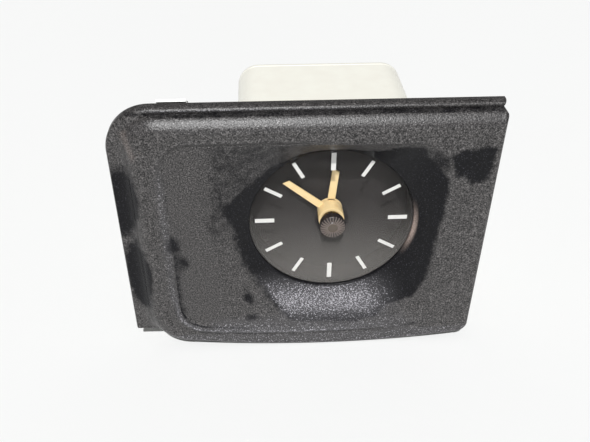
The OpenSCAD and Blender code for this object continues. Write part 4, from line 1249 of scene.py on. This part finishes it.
class CLOCK_OT_stage(bpy.types.Operator):
    """Pale floor, soft light and the camera that stands as in the photograph."""

    bl_idname = "clock.stage"
    bl_label = "Floor, light and camera"

    def execute(self, context):
        scene = context.scene
        self.floor(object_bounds()[0][2])
        self.lights(scene)
        self.camera(scene)
        scene.view_settings.view_transform = "Standard"
        return {"FINISHED"}

    def floor(self, height):
        """A plain pale sheet under the object that keeps its shadow."""
        mesh = bpy.data.meshes.new("pale floor")
        reach = 3.0
        mesh.from_pydata([(-reach, -reach, height), (reach, -reach, height), (reach, reach, height),
                          (-reach, reach, height)], [], [(0, 1, 2, 3)])
        cloth = Finish("pale floor cloth")
        mesh.materials.append(cloth.wear(Base_Color=(0.9, 0.905, 0.9), Roughness=0.9, Specular_IOR_Level=0.1))
        sheet = placed("pale_floor", mesh)
        sheet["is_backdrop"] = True

    def lights(self, scene):
        """A pale surround, a high sun from the front and a low window."""
        world = bpy.data.worlds.new("pale surround")
        world.use_nodes = True
        Nodes(world.node_tree).fill(world.node_tree.nodes["Background"].inputs, Color=(1.0, 1.0, 1.0), Strength=0.17)
        scene.world = world
        sun = bpy.data.lights.new("high front light", "SUN")
        sun.energy = 3.4
        sun.angle = math.radians(2.0)
        window = bpy.data.lights.new("low front window", "AREA")
        window.shape = "RECTANGLE"
        window.size, window.size_y = 0.4, 0.2
        window.energy = 1.1
        window.color = (0.92, 0.95, 1.0)
        for light, place, towards in ((sun, (0.0, 0.0, 0.0), (0.06, 0.588, -0.807)),
                                      (window, (0.08, -1.0, 0.1), (-0.08, 1.0, -0.1))):
            source = placed(light.name, light)
            source.location = place
            source.rotation_euler = Vector(towards).to_track_quat("-Z", "Y").to_euler()
            source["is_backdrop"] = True

    def camera(self, scene):
        """The camera in front of the dial, looking down on it."""
        lens = bpy.data.cameras.new("dial camera")
        lens.sensor_width = 36.0
        lens.lens = 42.65
        lens.clip_start = 0.005
        eye = placed("dial camera", lens)
        right, up, back = (0.9985, -0.0549, 0.0044), (0.0289, 0.5900, 0.8069), (-0.0469, -0.8055, 0.5907)
        eye.rotation_mode = "QUATERNION"
        eye.rotation_quaternion = Matrix((right, up, back)).transposed().to_quaternion()
        eye.location = (-0.02083, -0.16851, 0.12385)
        scene.camera = eye


class CLOCK_PT_panel(bpy.types.Panel):
    """Sizes, finishes and the steps that build the clock."""

    bl_label = "Dashboard Clock"
    bl_idname = "CLOCK_PT_panel"
    bl_space_type = "VIEW_3D"
    bl_region_type = "UI"
    bl_category = "Clock"

    def draw(self, context):
        layout = self.layout
        for group in (context.scene.clock_sizes, context.scene.clock_finishes):
            column = layout.column(align=True)
            for label in group.__annotations__:
                column.prop(group, label)
        for step in STEPS:
            layout.operator(step.bl_idname)


STEPS = (CLOCK_OT_fascia, CLOCK_OT_lens, CLOCK_OT_hour_marks, CLOCK_OT_hands, CLOCK_OT_knob, CLOCK_OT_case,
         CLOCK_OT_screws, CLOCK_OT_set_spring, CLOCK_OT_frame_finishes, CLOCK_OT_stage)
CLASSES = (ClockSizes, ClockFinishes) + STEPS + (CLOCK_PT_panel,)


def register():
    for cls in CLASSES:
        bpy.utils.register_class(cls)
    bpy.types.Scene.clock_sizes = bpy.props.PointerProperty(type=ClockSizes)
    bpy.types.Scene.clock_finishes = bpy.props.PointerProperty(type=ClockFinishes)


def unregister():
    del bpy.types.Scene.clock_finishes
    del bpy.types.Scene.clock_sizes
    for cls in reversed(CLASSES):
        bpy.utils.unregister_class(cls)


def main():
    register()
    bpy.ops.clock.fascia()
    bpy.ops.clock.lens()
    bpy.ops.clock.hour_marks()
    bpy.ops.clock.hands()
    bpy.ops.clock.knob()
    bpy.ops.clock.case()
    bpy.ops.clock.screws()
    bpy.ops.clock.set_spring()
    bpy.ops.clock.frame_finishes()
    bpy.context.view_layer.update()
    bpy.ops.clock.stage()


if __name__ == "__main__":
    main()
